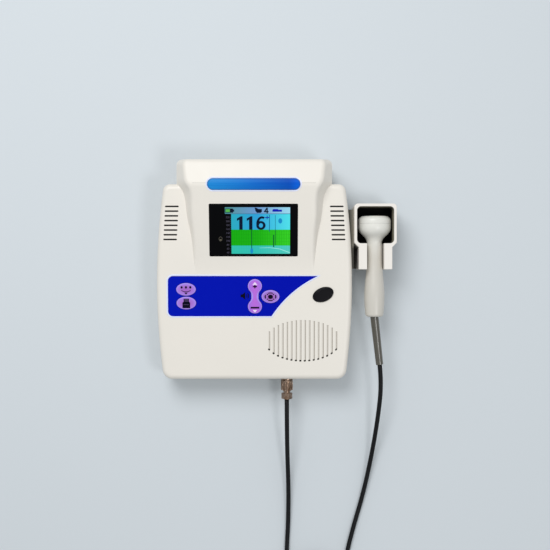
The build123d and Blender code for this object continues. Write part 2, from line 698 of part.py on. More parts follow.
def volume_rocker():
    """Two-ended key that tips on a cross axle."""
    cap = rounded_top(rocker_blank(0, -key_rise, wall), face_plane.z_dir, key_edge_radius)
    yoke_width = rocker_axle_length - 2 * ear_thickness - 2 * ear_gap
    low = rocker_axle_depth + 1.5 * rocker_axle_radius
    axle = Rot(0, 90, 0) * Cylinder(rocker_axle_radius, rocker_axle_length)
    reach = rocker_length / 2 - rocker_lobe_radius
    tip = wall + flange_gap + flange_thickness + stem_length
    parts = [block(yoke_width, 3 * rocker_axle_radius, -low, -wall), Pos(0, 0, -rocker_axle_depth) * axle]
    parts += [Pos(0, side * reach, 0) * rod(stem_radius, -tip, -wall) for side in (1, -1)]
    return cap + [on_face(rocker_x, rocker_y) * part for part in parts]


def power_button():
    """Tilted oval button with a rounded crown, a collar and a stem."""
    collar_top = wall + flange_gap
    collar_low = collar_top + flange_thickness
    cap = rounded_top(power_blank(0, -power_rise, collar_low), face_plane.z_dir, power_edge_radius)
    collar = power_blank(collar_reach, collar_top, collar_low)
    return cap + collar + on_face(power_x, power_y) * rod(stem_radius, -collar_low - stem_length, -collar_low)


def switch(place, travel):
    """Push switch on the keypad board, its plunger just under a stem at full travel."""
    stem_end = wall + flange_gap + flange_thickness + stem_length
    top = stem_end + travel + flange_gap
    body_top = (top + keypad_depth) / 2
    body = block(switch_size, switch_size, -keypad_depth, -body_top)
    return place * (body + rod(plunger_radius, -body_top, -top))


def key_switch_places():
    """Places of the five switches under the oval keys and the rocker's two ends."""
    reach = rocker_length / 2 - rocker_lobe_radius
    places = [on_face(x, y) for x, y, _, _ in oval_keys.values()]
    return places + [on_face(rocker_x, rocker_y) * Pos(0, side * reach, 0) for side in (1, -1)]


def keypad_board():
    """Board behind the panel, hung on three posts."""
    middle_x, middle_y = (keypad_left + keypad_right) / 2, (keypad_front_y + keypad_rear_y) / 2
    size = (keypad_right - keypad_left, keypad_rear_y - keypad_front_y)
    board = on_face(middle_x, middle_y, keypad_depth) * block(*size, -board_thickness, 0)
    for x in keypad_post_x:
        board -= on_face(x, rocker_y, keypad_depth) * rod(screw_radius + screw_gap, -2 * board_thickness, 1)
    return board


def key_switches():
    """The five small push switches on the keypad board."""
    swing = rocker_length / 2 * tan(rocker_swing)
    return [switch(place, max(key_travel, swing)) for place in key_switch_places()]


def power_switch():
    """Push switch under the power button."""
    return switch(on_face(power_x, power_y), power_travel)


# --- Speaker --------------------------------------------------------------------------------


def speaker_frame():
    """Pressed basket: flange, cone-shaped side with four windows, rear plate."""
    seat = wall + speaker_seat
    under = seat + speaker_flange
    low = under + basket_depth
    metal, shoulder = speaker_sheet, speaker_radius - basket_slope
    profile = make_face(Polyline(
        (speaker_radius, -seat), (speaker_radius, -under), (shoulder, -under), (magnet_radius, -low), (0, -low),
        (0, -low + metal), (magnet_radius - metal, -low + metal), (shoulder - metal, -seat), (speaker_radius, -seat),
    ))
    basket = revolve(Plane.XZ * profile, Axis.Z)
    window = block(speaker_radius * 2, magnet_radius / 2, -low + 2 * metal, -under - metal)
    for turn in (0, 90):
        basket -= Rot(0, 0, turn) * window
    return on_face(grille_x, grille_y) * basket


def speaker_cone():
    """Paper cone with its roll edge and dust cap."""
    edge = wall + speaker_seat + cone_lip
    low = wall + speaker_seat + basket_depth - 2 * speaker_sheet
    rim, throat, paper = speaker_radius - cone_margin, cone_throat, cone_paper
    profile = make_face(Polyline(
        (0, -low), (throat, -low), (rim, -edge), (rim + paper, -edge), (rim + paper, -edge + paper),
        (rim - paper / 2, -edge + paper), (throat, -low + 2 * paper), (0, -low + dust_cap_rise), (0, -low),
    ))
    return on_face(grille_x, grille_y) * revolve(Plane.XZ * profile, Axis.Z)


def speaker_magnet():
    """Ring magnet with its back plate."""
    low = wall + speaker_seat + speaker_flange + basket_depth
    return on_face(grille_x, grille_y) * rod(magnet_radius, -low - magnet_height, -low)


# --- Probe socket and plug ------------------------------------------------------------------


def probe_socket():
    """Bulkhead socket: front flange, barrel for the plug, thread through the wall, pin."""
    body = rod(socket_flange_radius, 0, socket_flange)
    body += rod(socket_barrel_radius, 0, socket_barrel_length)
    body += rod(socket_thread_radius, -socket_tail, 0)
    body -= rod(socket_bore, socket_flange, 2 * socket_barrel_length)
    body += rod(socket_pin_radius, -socket_tail - socket_pin_length, -socket_tail)
    return socket_frame.location * body


def socket_nut():
    """Washer and hexagon nut behind the wall, as two solids."""
    bore = rod(socket_thread_radius + thread_fit, -2 * socket_tail, 0)
    start = wall + washer_thickness
    washer = rod(washer_radius, -start, -wall) - bore
    hexagon = RegularPolygon(nut_width / 2, 6, major_radius=False)
    nut = Pos(0, 0, -start - nut_thickness) * extrude(hexagon, amount=nut_thickness) - bore
    return [socket_frame.location * washer, socket_frame.location * nut]


def plug_ring():
    """Fluted coupling ring that turns on the plug and closes over the socket."""
    ring = rod(ring_radius, ring_start, ring_end)
    ring = fillet(ring.edges().filter_by(GeomType.CIRCLE), ring_edge_radius)
    low = ring_start + ring_smooth_length
    for index in range(ring_flutes):
        turn = Rot(0, 0, index * 360 / ring_flutes)
        ring -= turn * Pos(ring_radius + flute_radius / 3, 0, 0) * rod(flute_radius, low, ring_end + 1)
    ring -= rod(socket_barrel_radius + ring_turn_fit, 0, ring_end - ring_web)
    return socket_frame.location * (ring - rod(plug_core_radius + ring_turn_fit, 0, 2 * ring_end))


def plug_body():
    """Plug core inside the socket, its shoulder, waist and tail for the lead."""
    shoulder = ring_end + ring_turn_fit
    body = rod(plug_core_radius, plug_core_tip, shoulder)
    body += rod(plug_shoulder_radius, shoulder, shoulder + plug_shoulder)
    body += rod(plug_waist_radius, shoulder + plug_shoulder, clamp_end)
    return socket_frame.location * (body + rod(plug_tail_radius, clamp_end, plug_length))


def plug_clamp_nut():
    """Clamp nut with six flats and a rounded end."""
    nut = rod(clamp_radius, clamp_start, clamp_end)
    nut = fillet(nut.edges().filter_by(GeomType.CIRCLE), clamp_edge_radius)
    hexagon = RegularPolygon(clamp_flats / 2, 6, major_radius=False)
    nut &= extrude(hexagon, amount=2 * clamp_end)
    return socket_frame.location * (nut - rod(plug_waist_radius + thread_fit, 0, 2 * clamp_end))


# --- Probe ----------------------------------------------------------------------------------


def probe_half(inset, start):
    """Half section of the probe from a start distance to its end, moved in by an inset."""
    head, end = head_radius - inset, probe_length - inset
    neck = (neck_radius - inset, neck_at)
    shoulder = (shoulder_radius - inset, shoulder_at)
    flare = Spline((head, head_length), shoulder, neck, tangents=[(0, 1), (0, 1)])
    grip = Spline(
        neck, (waist_radius - inset, waist_at), (grip_radius - inset, grip_at),
        (probe_end_radius - inset, end), tangents=[(0, 1), (-0.12, 1)],
    )
    return make_face([
        Line((0, start), (head, start)), Line((head, start), (head, head_length)), flare, grip,
        Line((probe_end_radius - inset, end), (0, end)), Line((0, end), (0, start)),
    ])


def probe_solid(inset, start):
    """Turned form of the probe body."""
    return revolve(Plane.XZ * probe_half(inset, start), Axis.Z)


def relief_axis():
    """Line of the strain relief from the middle of the probe's end face to its tip."""
    start = Vector(probe_x, probe_top_y - probe_length, probe_z)
    return start, (Vector(*relief_end) - start)


def probe_housing():
    """Hollow grip of the probe, open under the head cap, with a hole for the strain relief."""
    body = probe_solid(0, cap_length)
    body = fillet(body.edges().filter_by(GeomType.CIRCLE).sort_by(Axis.Z)[-1], probe_end_fillet)
    body -= probe_solid(probe_wall, cap_length)
    hole = rod(relief_root_radius + relief_hole_gap, probe_length - 2 * probe_wall, probe_length + 1)
    return probe_frame.location * (body - hole)


def probe_cap():
    """Head ring that holds the sound window; its spigot plugs into the housing."""
    cap = rod(head_radius, 0, cap_length)
    cap = fillet(cap.edges().group_by(Axis.Z)[0], cap_edge_radius)
    spigot = head_radius - probe_wall - probe_fit
    cap += rod(spigot, cap_length, cap_length + spigot_length)
    cap -= rod(spigot - spigot_wall, lens_thickness, 2 * cap_length)
    return probe_frame.location * (cap - rod(lens_radius + probe_fit, -1, lens_thickness + 1))


def sound_window():
    """Soft domed face that touches the skin."""
    ball = (lens_radius ** 2 + lens_rise ** 2) / (2 * lens_rise)
    dome = Pos(0, 0, ball - lens_rise) * Sphere(ball) & rod(lens_radius, -lens_rise, 0)
    return probe_frame.location * (dome + rod(lens_radius, 0, lens_thickness))


def crystals():
    """Sending and receiving half-discs side by side behind the sound window."""
    top = lens_thickness
    disc = rod(crystal_radius, top, top + crystal_thickness)
    disc -= block(crystal_split, 3 * crystal_radius, 0, 2 * cap_length)
    return [probe_frame.location * half for half in disc.solids()]


def crystal_backing():
    """Damping block behind the crystals, seated in the cap."""
    low = lens_thickness + crystal_thickness
    radius = head_radius - probe_wall - probe_fit - spigot_wall
    return probe_frame.location * rod(radius, low, low + backing_thickness)


def probe_board():
    """Narrow amplifier board along the grip, as wide as the neck lets in."""
    inside = neck_radius - probe_wall - probe_board_gap
    width = 2 * math.sqrt(inside**2 - (board_thickness / 2) ** 2)
    plate = block(width, board_thickness, probe_board_at, probe_board_at + probe_board_length)
    chip = block(width / 2, 2 * board_thickness, 0, width)
    place = Pos(0, board_thickness, probe_board_at + probe_board_length / 4)
    return probe_frame.location * (plate + place * chip)


def strain_relief():
    """Tapered sleeve that leaves the grip a little askew, with its collar inside the end wall."""
    start, run = relief_axis()
    axis = Plane(origin=start, z_dir=run)
    length = run.length
    sleeve = Cone(relief_root_radius, relief_tip_radius, length, align=(Align.CENTER, Align.CENTER, Align.MIN))
    root = rod(relief_root_radius, -relief_root, 0)
    collar_low = probe_length - probe_wall - relief_collar - screw_gap
    collar = probe_frame.location * rod(relief_collar_radius, collar_low, collar_low + relief_collar)
    return axis.location * (sleeve + root) + collar


# --- Cradle ---------------------------------------------------------------------------------


def cradle_outline():
    """Plan of the cradle: wide cup, sloping cheeks, two legs."""
    rear, cup, leg, front = cradle_rear_y, cup_front_y, cradle_leg_rear_y, cradle_front_y
    half, foot = cradle_half_width, cradle_leg_half_width
    face = Polygon(
        (-half, rear), (-half, cup), (-foot, leg), (-foot, front),
        (foot, front), (foot, leg), (half, cup), (half, rear), align=None,
    )
    return fillet(face.vertices().sort_by(Axis.Y)[-2:], cradle_corner_radius)


def cup_outline(inset):
    """Plan of the cup's inside."""
    half = cradle_half_width - cradle_wall - inset
    front, rear = cup_inner_front_y + inset, cradle_rear_y - cradle_wall - inset
    face = Polygon((-half, rear), (-half, front), (half, front), (half, rear), align=None)
    return fillet(face.vertices(), cup_corner_radius - inset)


def slot_tunnel(gap):
    """Round-bottomed channel along the probe's axis, open to the top."""
    radius = waist_radius + gap
    length = cup_inner_front_y - cradle_front_y + 2 * cup_corner_radius
    middle = (cup_inner_front_y + cradle_front_y) / 2
    lower = Rot(90, 0, 0) * Cylinder(radius, length)
    return Pos(0, middle, probe_z) * (lower + block(2 * radius, length, 0, cradle_rim_z))


def cradle():
    """Moulded holder: cup for the head, cored legs either side of the channel for the grip."""
    under = cradle_floor_z - cradle_floor
    body = extrude(Pos(0, 0, under) * cradle_outline(), amount=cradle_rim_z - under)
    body = fillet(body.faces().sort_by(Axis.Z)[-1].outer_wire().edges(), cradle_edge_radius)
    body -= extrude(Pos(0, 0, cradle_floor_z) * cup_outline(0), amount=cradle_rim_z)
    body -= slot_tunnel(groove_gap)
    channel = waist_radius + groove_gap
    core_width = cradle_leg_half_width - channel - 2 * leg_core_wall
    core_x = (cradle_leg_half_width + channel) / 2
    core_y = cradle_front_y + leg_core_wall + leg_core_length / 2
    for side in (1, -1):
        pocket = block(core_width, leg_core_length, 0, cradle_rim_z - leg_core_wall)
        body -= Pos(side * core_x, core_y, 0) * pocket
    keel_top = probe_z - channel - leg_core_wall
    body -= Pos(0, core_y, 0) * block(channel, leg_core_length, 0, keel_top)
    for x, y in cradle_screw_places:
        body -= Pos(x, y, 0) * rod(screw_radius + thread_fit, 0, under + cradle_floor + 1)
    return Pos(probe_x, 0, 0) * body


def cradle_liner():
    """Soft black lining of the cup's floor and walls, open at the channel."""
    body = extrude(Pos(0, 0, cradle_floor_z) * cup_outline(0), amount=cradle_rim_z - liner_drop - cradle_floor_z)
    body -= extrude(Pos(0, 0, cradle_floor_z + liner_thickness) * cup_outline(liner_thickness), amount=cradle_rim_z)
    return Pos(probe_x, 0, 0) * (body - slot_tunnel(liner_gap))


def cradle_bracket():
    """Dark angle bracket: a saddle against the console's side and a shelf under the cradle."""
    left, top = probe_x - cradle_half_width, cradle_floor_z - cradle_floor
    low = top - bracket_thickness
    length = bracket_rear_y - bracket_front_y
    middle_y = (bracket_rear_y + bracket_front_y) / 2
    saddle = Pos(left - bracket_skin / 2, middle_y, 0) * block(bracket_skin, length, low, bracket_top_z)
    shelf_right = probe_x + bracket_half_span
    shelf_left = left - bracket_skin
    shelf = Pos((shelf_left + shelf_right) / 2, middle_y, 0) * block(shelf_right - shelf_left, length, low, top)
    bracket = saddle + shelf
    bracket -= extrude(console_outline(0), amount=2 * front_height)
    for x, y in cradle_screw_places:
        bracket -= Pos(probe_x + x, y, 0) * rod(screw_radius + screw_gap, 0, 2 * top)
    counterbore = rod(screw_head_radius + screw_gap, 0, 2 * bracket_skin)
    for y, z in bracket_screw_places:
        bracket -= bracket_screw_frame(y, z).location * Pos(0, 0, -2 * bracket_skin) * counterbore
    bracket -= bracket_screw_holes(screw_radius + screw_gap)
    return bracket


def bracket_screw_frame(y, z):
    """Frame of a bracket screw: its head's seat in the saddle, Z pointing into the console."""
    seat_x = probe_x - cradle_half_width - screw_head_height - screw_gap
    return Plane(origin=(seat_x, y, z), x_dir=(0, 1, 0), z_dir=(-1, 0, 0))


def bracket_screw_holes(radius):
    """Holes for the bracket screws, from their seats into the console's wall."""
    return [bracket_screw_frame(y, z).location * rod(radius, -0.1, 2 * wall_screw_reach) for y, z in bracket_screw_places]


# --- Lead -----------------------------------------------------------------------------------


def rounded_route(name, points):
    """Straight runs joined by the largest tangent arcs that the runs allow."""
    points = [Vector(*point) for point in points]
    radii = []
    for before, here, after in zip(points, points[1:], points[2:]):
        turn = (here - before).get_angle(after - here)
        radii.append(route_round * min((here - before).length, (after - here).length) / tan(turn / 2))
    print(name, "radii", [round(radius) for radius in radii])
    return FilletPolyline(*points, radius=radii)


def lead_run(name, points):
    """Plain tube along one of the lead's two runs."""
    path = rounded_route(name, points)
    section = Plane(origin=path @ 0, z_dir=path % 0) * Circle(cord_diameter / 2)
    tube = sweep(section, path)
    share = tube.volume / (math.pi * cord_diameter**2 / 4 * path.length)
    print(name, "length", round(path.length), "volume share", round(share, 4))
    return tube


def cord_coil():
    """Outer form of the coiled middle of the lead."""
    band = Pos(coil_turn_radius, coil_height / 2) * RectangleRounded(coil_band_width, coil_height, coil_edge_radius)
    return Pos(coil_x, coil_y, 0) * revolve(Plane.XZ * band, Axis.Z)


# --- Screws ---------------------------------------------------------------------------------


def case_screw_set():
    """Screws that hold the two shells together."""
    low = foot_height + case_counterbore
    length = parting_z + case_screw_reach - low - 1
    return [Pos(x, y, low) * screw(length) for x, y in case_screws]


def speaker_screw_set():
    """Screws whose heads clamp the speaker's flange."""
    seat = wall + speaker_seat + speaker_flange
    turns = (45, 135, 225, 315)
    return [speaker_place(turn, speaker_screw_radius, seat) * screw(speaker_screw_length) for turn in turns]


def keypad_screw_set():
    """Screws that hang the keypad board on its posts."""
    low = keypad_depth + board_thickness
    return [on_face(x, rocker_y, low) * screw(board_screw_length) for x in keypad_post_x]


def display_screw_set():
    """Screws that hold the display board on its posts."""
    low = display_board_depth() + board_thickness
    return [on_display(x, y, low) * screw(board_screw_length) for x, y in display_posts()]


def board_screw_set():
    """Screws of the main board, from above."""
    top = main_board_z + board_thickness
    return [Pos(x, y, top) * Rot(180, 0, 0) * screw(board_screw_length) for x, y in board_posts()]


def door_screw():
    """Screw of the battery door, its head in the door's ear."""
    return Pos(battery_x, door_screw_y, foot_height) * screw(door_boss_height - 1)


def cradle_screw_set():
    """Screws from under the shelf into the cradle's floor."""
    low = cradle_floor_z - cradle_floor - bracket_thickness
    return [Pos(probe_x + x, y, low) * screw(bracket_thickness + cradle_floor - screw_gap) for x, y in cradle_screw_places]


def bracket_screw_set():
    """Screws through the saddle into the console's wall."""
    return [bracket_screw_frame(y, z).location * screw(wall_screw_reach) for y, z in bracket_screw_places]


# --- Assembly -------------------------------------------------------------------------------

console = {
    "front_shell": front_shell(),
    "rear_shell": rear_shell(),
    "battery_door": battery_door(),
    "battery_cells": battery_cells(),
    "door_screw": door_screw(),
    "case_screws": case_screw_set(),
    "feet": feet(),
    "main_board": main_board(),
    "board_screws": board_screw_set(),
    "charge_jack": charge_jack(),
    "display_window": display_window(),
    "display_module": display_module(),
    "display_board": display_board(),
    "display_screws": display_screw_set(),
    "accent_strip": accent_strip(),
    "keypad_overlay": keypad_overlay(),
    "keypad_board": keypad_board(),
    "keypad_screws": keypad_screw_set(),
    "key_switches": key_switches(),
    "power_switch": power_switch(),
    "filter_key": oval_key("filter_key"),
    "record_key": oval_key("record_key"),
    "mode_key": oval_key("mode_key"),
    "volume_rocker": volume_rocker(),
    "power_button": power_button(),
    "speaker_frame": speaker_frame(),
    "speaker_cone": speaker_cone(),
    "speaker_magnet": speaker_magnet(),
    "speaker_screws": speaker_screw_set(),
    "probe_socket": probe_socket(),
    "socket_nut": socket_nut(),
    "cradle": cradle(),
    "cradle_liner": cradle_liner(),
    "cradle_bracket": cradle_bracket(),
    "cradle_screws": cradle_screw_set(),
    "bracket_screws": bracket_screw_set(),
    "probe_housing": probe_housing(),
    "probe_cap": probe_cap(),
    "sound_window": sound_window(),
    "crystals": crystals(),
    "crystal_backing": crystal_backing(),
    "probe_board": probe_board(),
    "strain_relief": strain_relief(),
}
lead = {
    "plug_ring": plug_ring(),
    "plug_body": plug_body(),
    "plug_clamp_nut": plug_clamp_nut(),
    "cord_plug_run": lead_run("cord_plug_run", plug_route),
    "cord_probe_run": lead_run("cord_probe_run", probe_route),
    "cord_coil": cord_coil(),
}


def as_compound(piece):
    """One compound for a node, whether it is one solid or a group."""
    pieces = piece if isinstance(piece, list) else [piece]
    return Compound([solid for part in pieces for solid in part.solids()])


model = {name: as_compound(piece) for name, piece in {**console, **lead}.items()}
box = Compound([model[name] for name in console]).bounding_box()
to_origin = Pos(-box.center().X, -box.center().Y, -box.min.Z)
print("moved by", -box.center().X, -box.center().Y, -box.min.Z)
os.makedirs("parts", exist_ok=True)
for name, piece in model.items():
    export_step(to_origin * piece, f"parts/{name}.step")
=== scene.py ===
import math

import bmesh
import bpy
from mathutils import Matrix, Vector
from mathutils.bvhtree import BVHTree


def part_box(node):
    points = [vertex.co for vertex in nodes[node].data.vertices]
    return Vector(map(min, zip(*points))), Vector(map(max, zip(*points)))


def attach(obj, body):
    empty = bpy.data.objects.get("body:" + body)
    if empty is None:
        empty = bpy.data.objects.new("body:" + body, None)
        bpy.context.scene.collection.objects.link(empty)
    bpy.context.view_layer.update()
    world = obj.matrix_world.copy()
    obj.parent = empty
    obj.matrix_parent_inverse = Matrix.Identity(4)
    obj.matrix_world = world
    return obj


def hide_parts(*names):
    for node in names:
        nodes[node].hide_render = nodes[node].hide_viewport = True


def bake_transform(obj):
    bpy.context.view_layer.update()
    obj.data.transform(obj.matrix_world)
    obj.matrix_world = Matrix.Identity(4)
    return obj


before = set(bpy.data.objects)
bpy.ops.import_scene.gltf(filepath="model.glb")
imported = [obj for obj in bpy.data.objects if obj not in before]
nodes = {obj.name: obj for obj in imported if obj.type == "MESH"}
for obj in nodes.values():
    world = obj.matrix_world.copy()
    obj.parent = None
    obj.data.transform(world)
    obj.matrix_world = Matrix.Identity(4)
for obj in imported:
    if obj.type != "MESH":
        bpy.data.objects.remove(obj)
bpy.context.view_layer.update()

# ---- Camera ----
# Straight above the console as it lies on its back, a long way off, so that the sides of
# the housing hardly show.
camera_place = (-0.00187, -0.00005, 1.3)


def in_scene(name, data):
    """New object with this data, in the scene."""
    made = bpy.data.objects.new(name, data)
    bpy.context.scene.collection.objects.link(made)
    return made


camera_lens = bpy.data.cameras.new("camera")
camera_lens.lens = 68.2
camera_lens.sensor_width = 36.0
camera = in_scene("camera", camera_lens)
camera.location = camera_place
bpy.context.scene.camera = camera
bpy.context.scene.view_settings.view_transform = "Standard"

# ---- Studio ----
# A pale table top under a bright even room, with one broad soft lamp over the rear left
# corner and a weaker one over the front right.


def set_on(tree, node, **sockets):
    """Sets or links inputs of a node, by name (underscores for spaces) or by n and a number."""
    for name, value in sockets.items():
        numbered = name[0] == "n" and name[1:].isdigit()
        socket = node.inputs[int(name[1:]) if numbered else name.replace("_", " ")]
        if isinstance(value, bpy.types.NodeSocket):
            tree.links.new(value, socket)
        else:
            socket.default_value = value


def shader(tree, kind, settings=None, **sockets):
    """Adds a shader node; returns its outputs."""
    made = tree.nodes.new("ShaderNode" + kind)
    for name, value in (settings or {}).items():
        setattr(made, name, value)
    set_on(tree, made, **sockets)
    return made.outputs


def mixed(tree, share, first, second):
    """Colour mix; returns the mixed colour."""
    return shader(tree, "Mix", {"data_type": "RGBA"}, n0=share, n6=first, n7=second)[2]


def material(name):
    """Empty material with its Principled shader; returns material, tree, shader."""
    made = bpy.data.materials.new(name)
    made.use_nodes = True
    tree = made.node_tree
    return made, tree, tree.nodes["Principled BSDF"]


def rgb(red, green, blue):
    """Linear colour of a screen colour given in 0 to 255."""
    shares = [v / 255 for v in (red, green, blue)]
    return (*[v / 12.92 if v <= 10 / 255 else ((v + 0.055) / 1.055) ** 2.4 for v in shares], 1.0)


floor_reach, floor_drop = 12, 0.0001
corners = [(x * floor_reach, y * floor_reach, 0) for x, y in ((-1, -1), (1, -1), (1, 1), (-1, 1))]
floor_mesh = bpy.data.meshes.new("floor")
floor_mesh.from_pydata(corners, [], [(0, 1, 2, 3)])
floor = in_scene("floor", floor_mesh)
floor.location.z = -floor_drop
floor_paint, tree, surface = material("table_top")
cloud = shader(tree, "TexNoise", Scale=1.5, Detail=2.0)["Fac"]
set_on(tree, surface, Base_Color=mixed(tree, cloud, rgb(205, 212, 217), rgb(212, 218, 222)),
       Roughness=0.7, Specular_IOR_Level=0.2)
floor_mesh.materials.append(floor_paint)

world = bpy.data.worlds.new("room")
world.use_nodes = True
tree = world.node_tree
room = tree.nodes["Background"]
set_on(tree, room, Color=rgb(240, 243, 245), Strength=0.54)
backdrop = shader(tree, "Background", Color=rgb(226, 231, 234), Strength=1.0)[0]
seen = shader(tree, "LightPath")["Is Camera Ray"]
around = shader(tree, "MixShader", n0=seen, n1=room.outputs[0], n2=backdrop)[0]
set_on(tree, tree.nodes["World Output"], Surface=around)
bpy.context.scene.world = world

for name, place, size, power in (
    ("lamp_rear", (-0.5, 0.95, 1.7), 1.1, 20.5),
    ("lamp_front", (0.75, -0.45, 1.8), 0.5, 6.0),
):
    lamp = bpy.data.lights.new(name, "AREA")
    lamp.shape = "DISK"
    lamp.size = size
    lamp.energy = power
    lamp_object = in_scene(name, lamp)
    lamp_object.location = place
    lamp_object.rotation_mode = "QUATERNION"
    lamp_object.rotation_quaternion = (-Vector(place)).to_track_quat("-Z", "Y")

# ---- Lead ----
# Coaxial probe lead, 5.5 mm over a black jacket: out of the strain relief, down to the
# table, five and a half turns put away in a two-layer coil, and back to the plug on the front
# wall. Two black hook-and-loop straps, lapped on top, hold the coil.
lead_d = 0.0055
probe_route = (
    (0.12493, -0.10835, 0.037), (0.12765, -0.13151, 0.035), (0.12413, -0.17545, 0.024),
    (0.11773, -0.22345, 0.0095), (0.10803, -0.27145, 0.00275), (0.09553, -0.31345, 0.00275),
    (0.08653, -0.34945, 0.00275), (0.084, -0.375, 0.0031),
)
plug_route = (
    (0.0131, -0.375, 0.0088), (0.01295, -0.367, 0.0078), (0.0128, -0.356, 0.0045),
    (0.01273, -0.33945, 0.00275), (0.01453, -0.30745, 0.00275), (0.01493, -0.26345, 0.008),
    (0.01323, -0.21945, 0.0195), (0.01253, -0.17545, 0.033), (0.01253, -0.15125, 0.033),
)
coil_centre, coil_outer, coil_turns, coil_steps = Vector((0.04853, -0.38745)), 0.0355, 5.5, 16
coil_rise, coil_rise_start = 0.5, -0.2
tie_room, tie_gap = 0.0006, 0.0001
tie_width, tie_thick, tie_lap, tie_corner = 0.009, 0.00052, 0.0066, 0.0022


def smooth(t):
    """Smooth step from 0 to 1."""
    t = min(max(t, 0.0), 1.0)
    return t * t * (3 - 2 * t)


def coil_point(turn):
    """Centre of the cord after this many turns: inwards on the floor, outwards on top."""
    middle = coil_turns / 2
    radius = coil_outer - lead_d * (middle - abs(turn - middle))
    height = lead_d / 2 + tie_room + lead_d * smooth((turn - middle - coil_rise_start) / coil_rise)
    angle = -2 * math.pi * turn
    return (coil_centre.x + radius * math.cos(angle), coil_centre.y + radius * math.sin(angle), height)


coil_points = [coil_point((step + 0.5) / coil_steps) for step in range(int(coil_turns * coil_steps))]
lead_points = [*probe_route, *coil_points, *plug_route]
lead_curve = bpy.data.curves.new("lead_line", "CURVE")
lead_curve.dimensions = "3D"
lead_spline = lead_curve.splines.new("NURBS")
lead_spline.points.add(len(lead_points) - 1)
for point, place in zip(lead_spline.points, lead_points):
    point.co = (*place, 1.0)
lead_spline.order_u = 3
lead_spline.use_endpoint_u = True
lead_spline.resolution_u = 12
lead_line = in_scene("lead_line", lead_curve)
line_mesh = bpy.data.meshes.new_from_object(lead_line)
lead_path = [v.co.copy() for v in line_mesh.vertices]
bpy.data.objects.remove(lead_line)


def finished(name, bm, paint, smooth_shade=True):
    """Turns a bmesh into an object in the scene, with its material."""
    mesh = bpy.data.meshes.new(name)
    bm.to_mesh(mesh)
    bm.free()
    made = in_scene(name, mesh)
    mesh.materials.append(paint)
    mesh.shade_smooth() if smooth_shade else mesh.shade_flat()
    return made


def tube(name, path, radius, sides, paint):
    """Closed tube along a path, with the distance and the turn in its UV map."""
    bm = bmesh.new()
    layer = bm.loops.layers.uv.new("along")
    side = Vector((0, 0, 1))
    turns = [2 * math.pi * k / sides for k in range(sides)]
    rings, travel = [], [0.0]
    for index, place in enumerate(path):
        ahead = path[min(index + 1, len(path) - 1)] - path[max(index - 1, 0)]
        ahead.normalize()
        side = (side - ahead * side.dot(ahead)).normalized()
        across = ahead.cross(side)
        ring = [place + radius * (side * math.cos(a) + across * math.sin(a)) for a in turns]
        rings.append([bm.verts.new(point) for point in ring])
        if index:
            travel.append(travel[-1] + (place - path[index - 1]).length)
    for index in range(len(rings) - 1):
        for k in range(sides):
            j = (k + 1) % sides
            face = bm.faces.new((rings[index][k], rings[index][j], rings[index + 1][j], rings[index + 1][k]))
            marks = ((index, k), (index, k + 1), (index + 1, k + 1), (index + 1, k))
            for loop, (i, turn) in zip(face.loops, marks):
                loop[layer].uv = (travel[i], turn / sides)
    bm.faces.new(reversed(rings[0]))
    bm.faces.new(rings[-1])
    bmesh.ops.recalc_face_normals(bm, faces=bm.faces)
    return finished(name, bm, paint)


def own_place(tree):
    """The piece's own coordinates."""
    return shader(tree, "TexCoord")["Object"]


def own_axes(tree):
    """X, Y and Z of the piece's own coordinates."""
    return shader(tree, "SeparateXYZ", Vector=own_place(tree))


def noise(tree, place, scale, detail=2.0, distortion=0.0):
    """Cloudy value between 0 and 1."""
    return shader(tree, "TexNoise", Vector=place, Scale=scale, Detail=detail, Distortion=distortion)["Fac"]


def stretched(tree, place, scale):
    """Place scaled by a factor along each axis, for streaks."""
    return shader(tree, "Mapping", n0=place, Scale=scale)[0]


def ramp(tree, value, low, high, start=0.0, end=1.0):
    """Goes from start to end, and no further, while the value goes from low to high."""
    return shader(tree, "MapRange", Value=value, From_Min=low, From_Max=high, To_Min=start, To_Max=end)[0]


def bumped(tree, height, strength, distance=0.0001):
    """Normal of a surface whose height follows this value."""
    return shader(tree, "Bump", Strength=strength, Distance=distance, Height=height)[0]


lead_paint, tree, surface = material("lead_jacket")
travelled = shader(tree, "UVMap", {"uv_map": "along"})[0]
smear = noise(tree, stretched(tree, travelled, (60.0, 6.0, 1.0)), 1.0, 3.0)
set_on(tree, surface, Base_Color=mixed(tree, smear, rgb(8, 9, 11), rgb(18, 19, 22)),
       Roughness=ramp(tree, smear, 0.0, 1.0, 0.38, 0.55),
       Normal=bumped(tree, noise(tree, own_place(tree), 2500.0), 0.2), Specular_IOR_Level=0.2)
lead = tube("lead", lead_path, lead_d / 2, 16, lead_paint)
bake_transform(lead)
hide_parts("cord_plug_run", "cord_probe_run", "cord_coil")


def carried(piece, body):
    """The piece rides a body."""
    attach(piece, body)
    return piece


def empty_group(name, kind, inputs, outputs):
    """Node group with named sockets; returns the group, what it is given, its output node."""
    made = bpy.data.node_groups.new(name, kind + "NodeTree")
    for way, sockets in (("INPUT", inputs), ("OUTPUT", outputs)):
        for label, value_kind in sockets.items():
            made.interface.new_socket(label, in_out=way, socket_type="NodeSocket" + value_kind)
    return made, made.nodes.new("NodeGroupInput").outputs, made.nodes.new("NodeGroupOutput")


def geometry(tree, kind, **sockets):
    """Adds a geometry node; returns its outputs."""
    made = tree.nodes.new("GeometryNode" + kind)
    set_on(tree, made, **sockets)
    return made.outputs


def calc(tree, operation, *values):
    """Math node on numbers and sockets; returns its result."""
    return shader(tree, "Math", {"operation": operation}, **{f"n{i}": v for i, v in enumerate(values)})[0]


def give_painted(tree, shape, given, result):
    """Ends a geometry tree: the shape as one mesh, in its material."""
    real = geometry(tree, "RealizeInstances", Geometry=shape)[0]
    set_on(tree, result, Geometry=geometry(tree, "SetMaterial", Geometry=real, Material=given["Material"])[0])


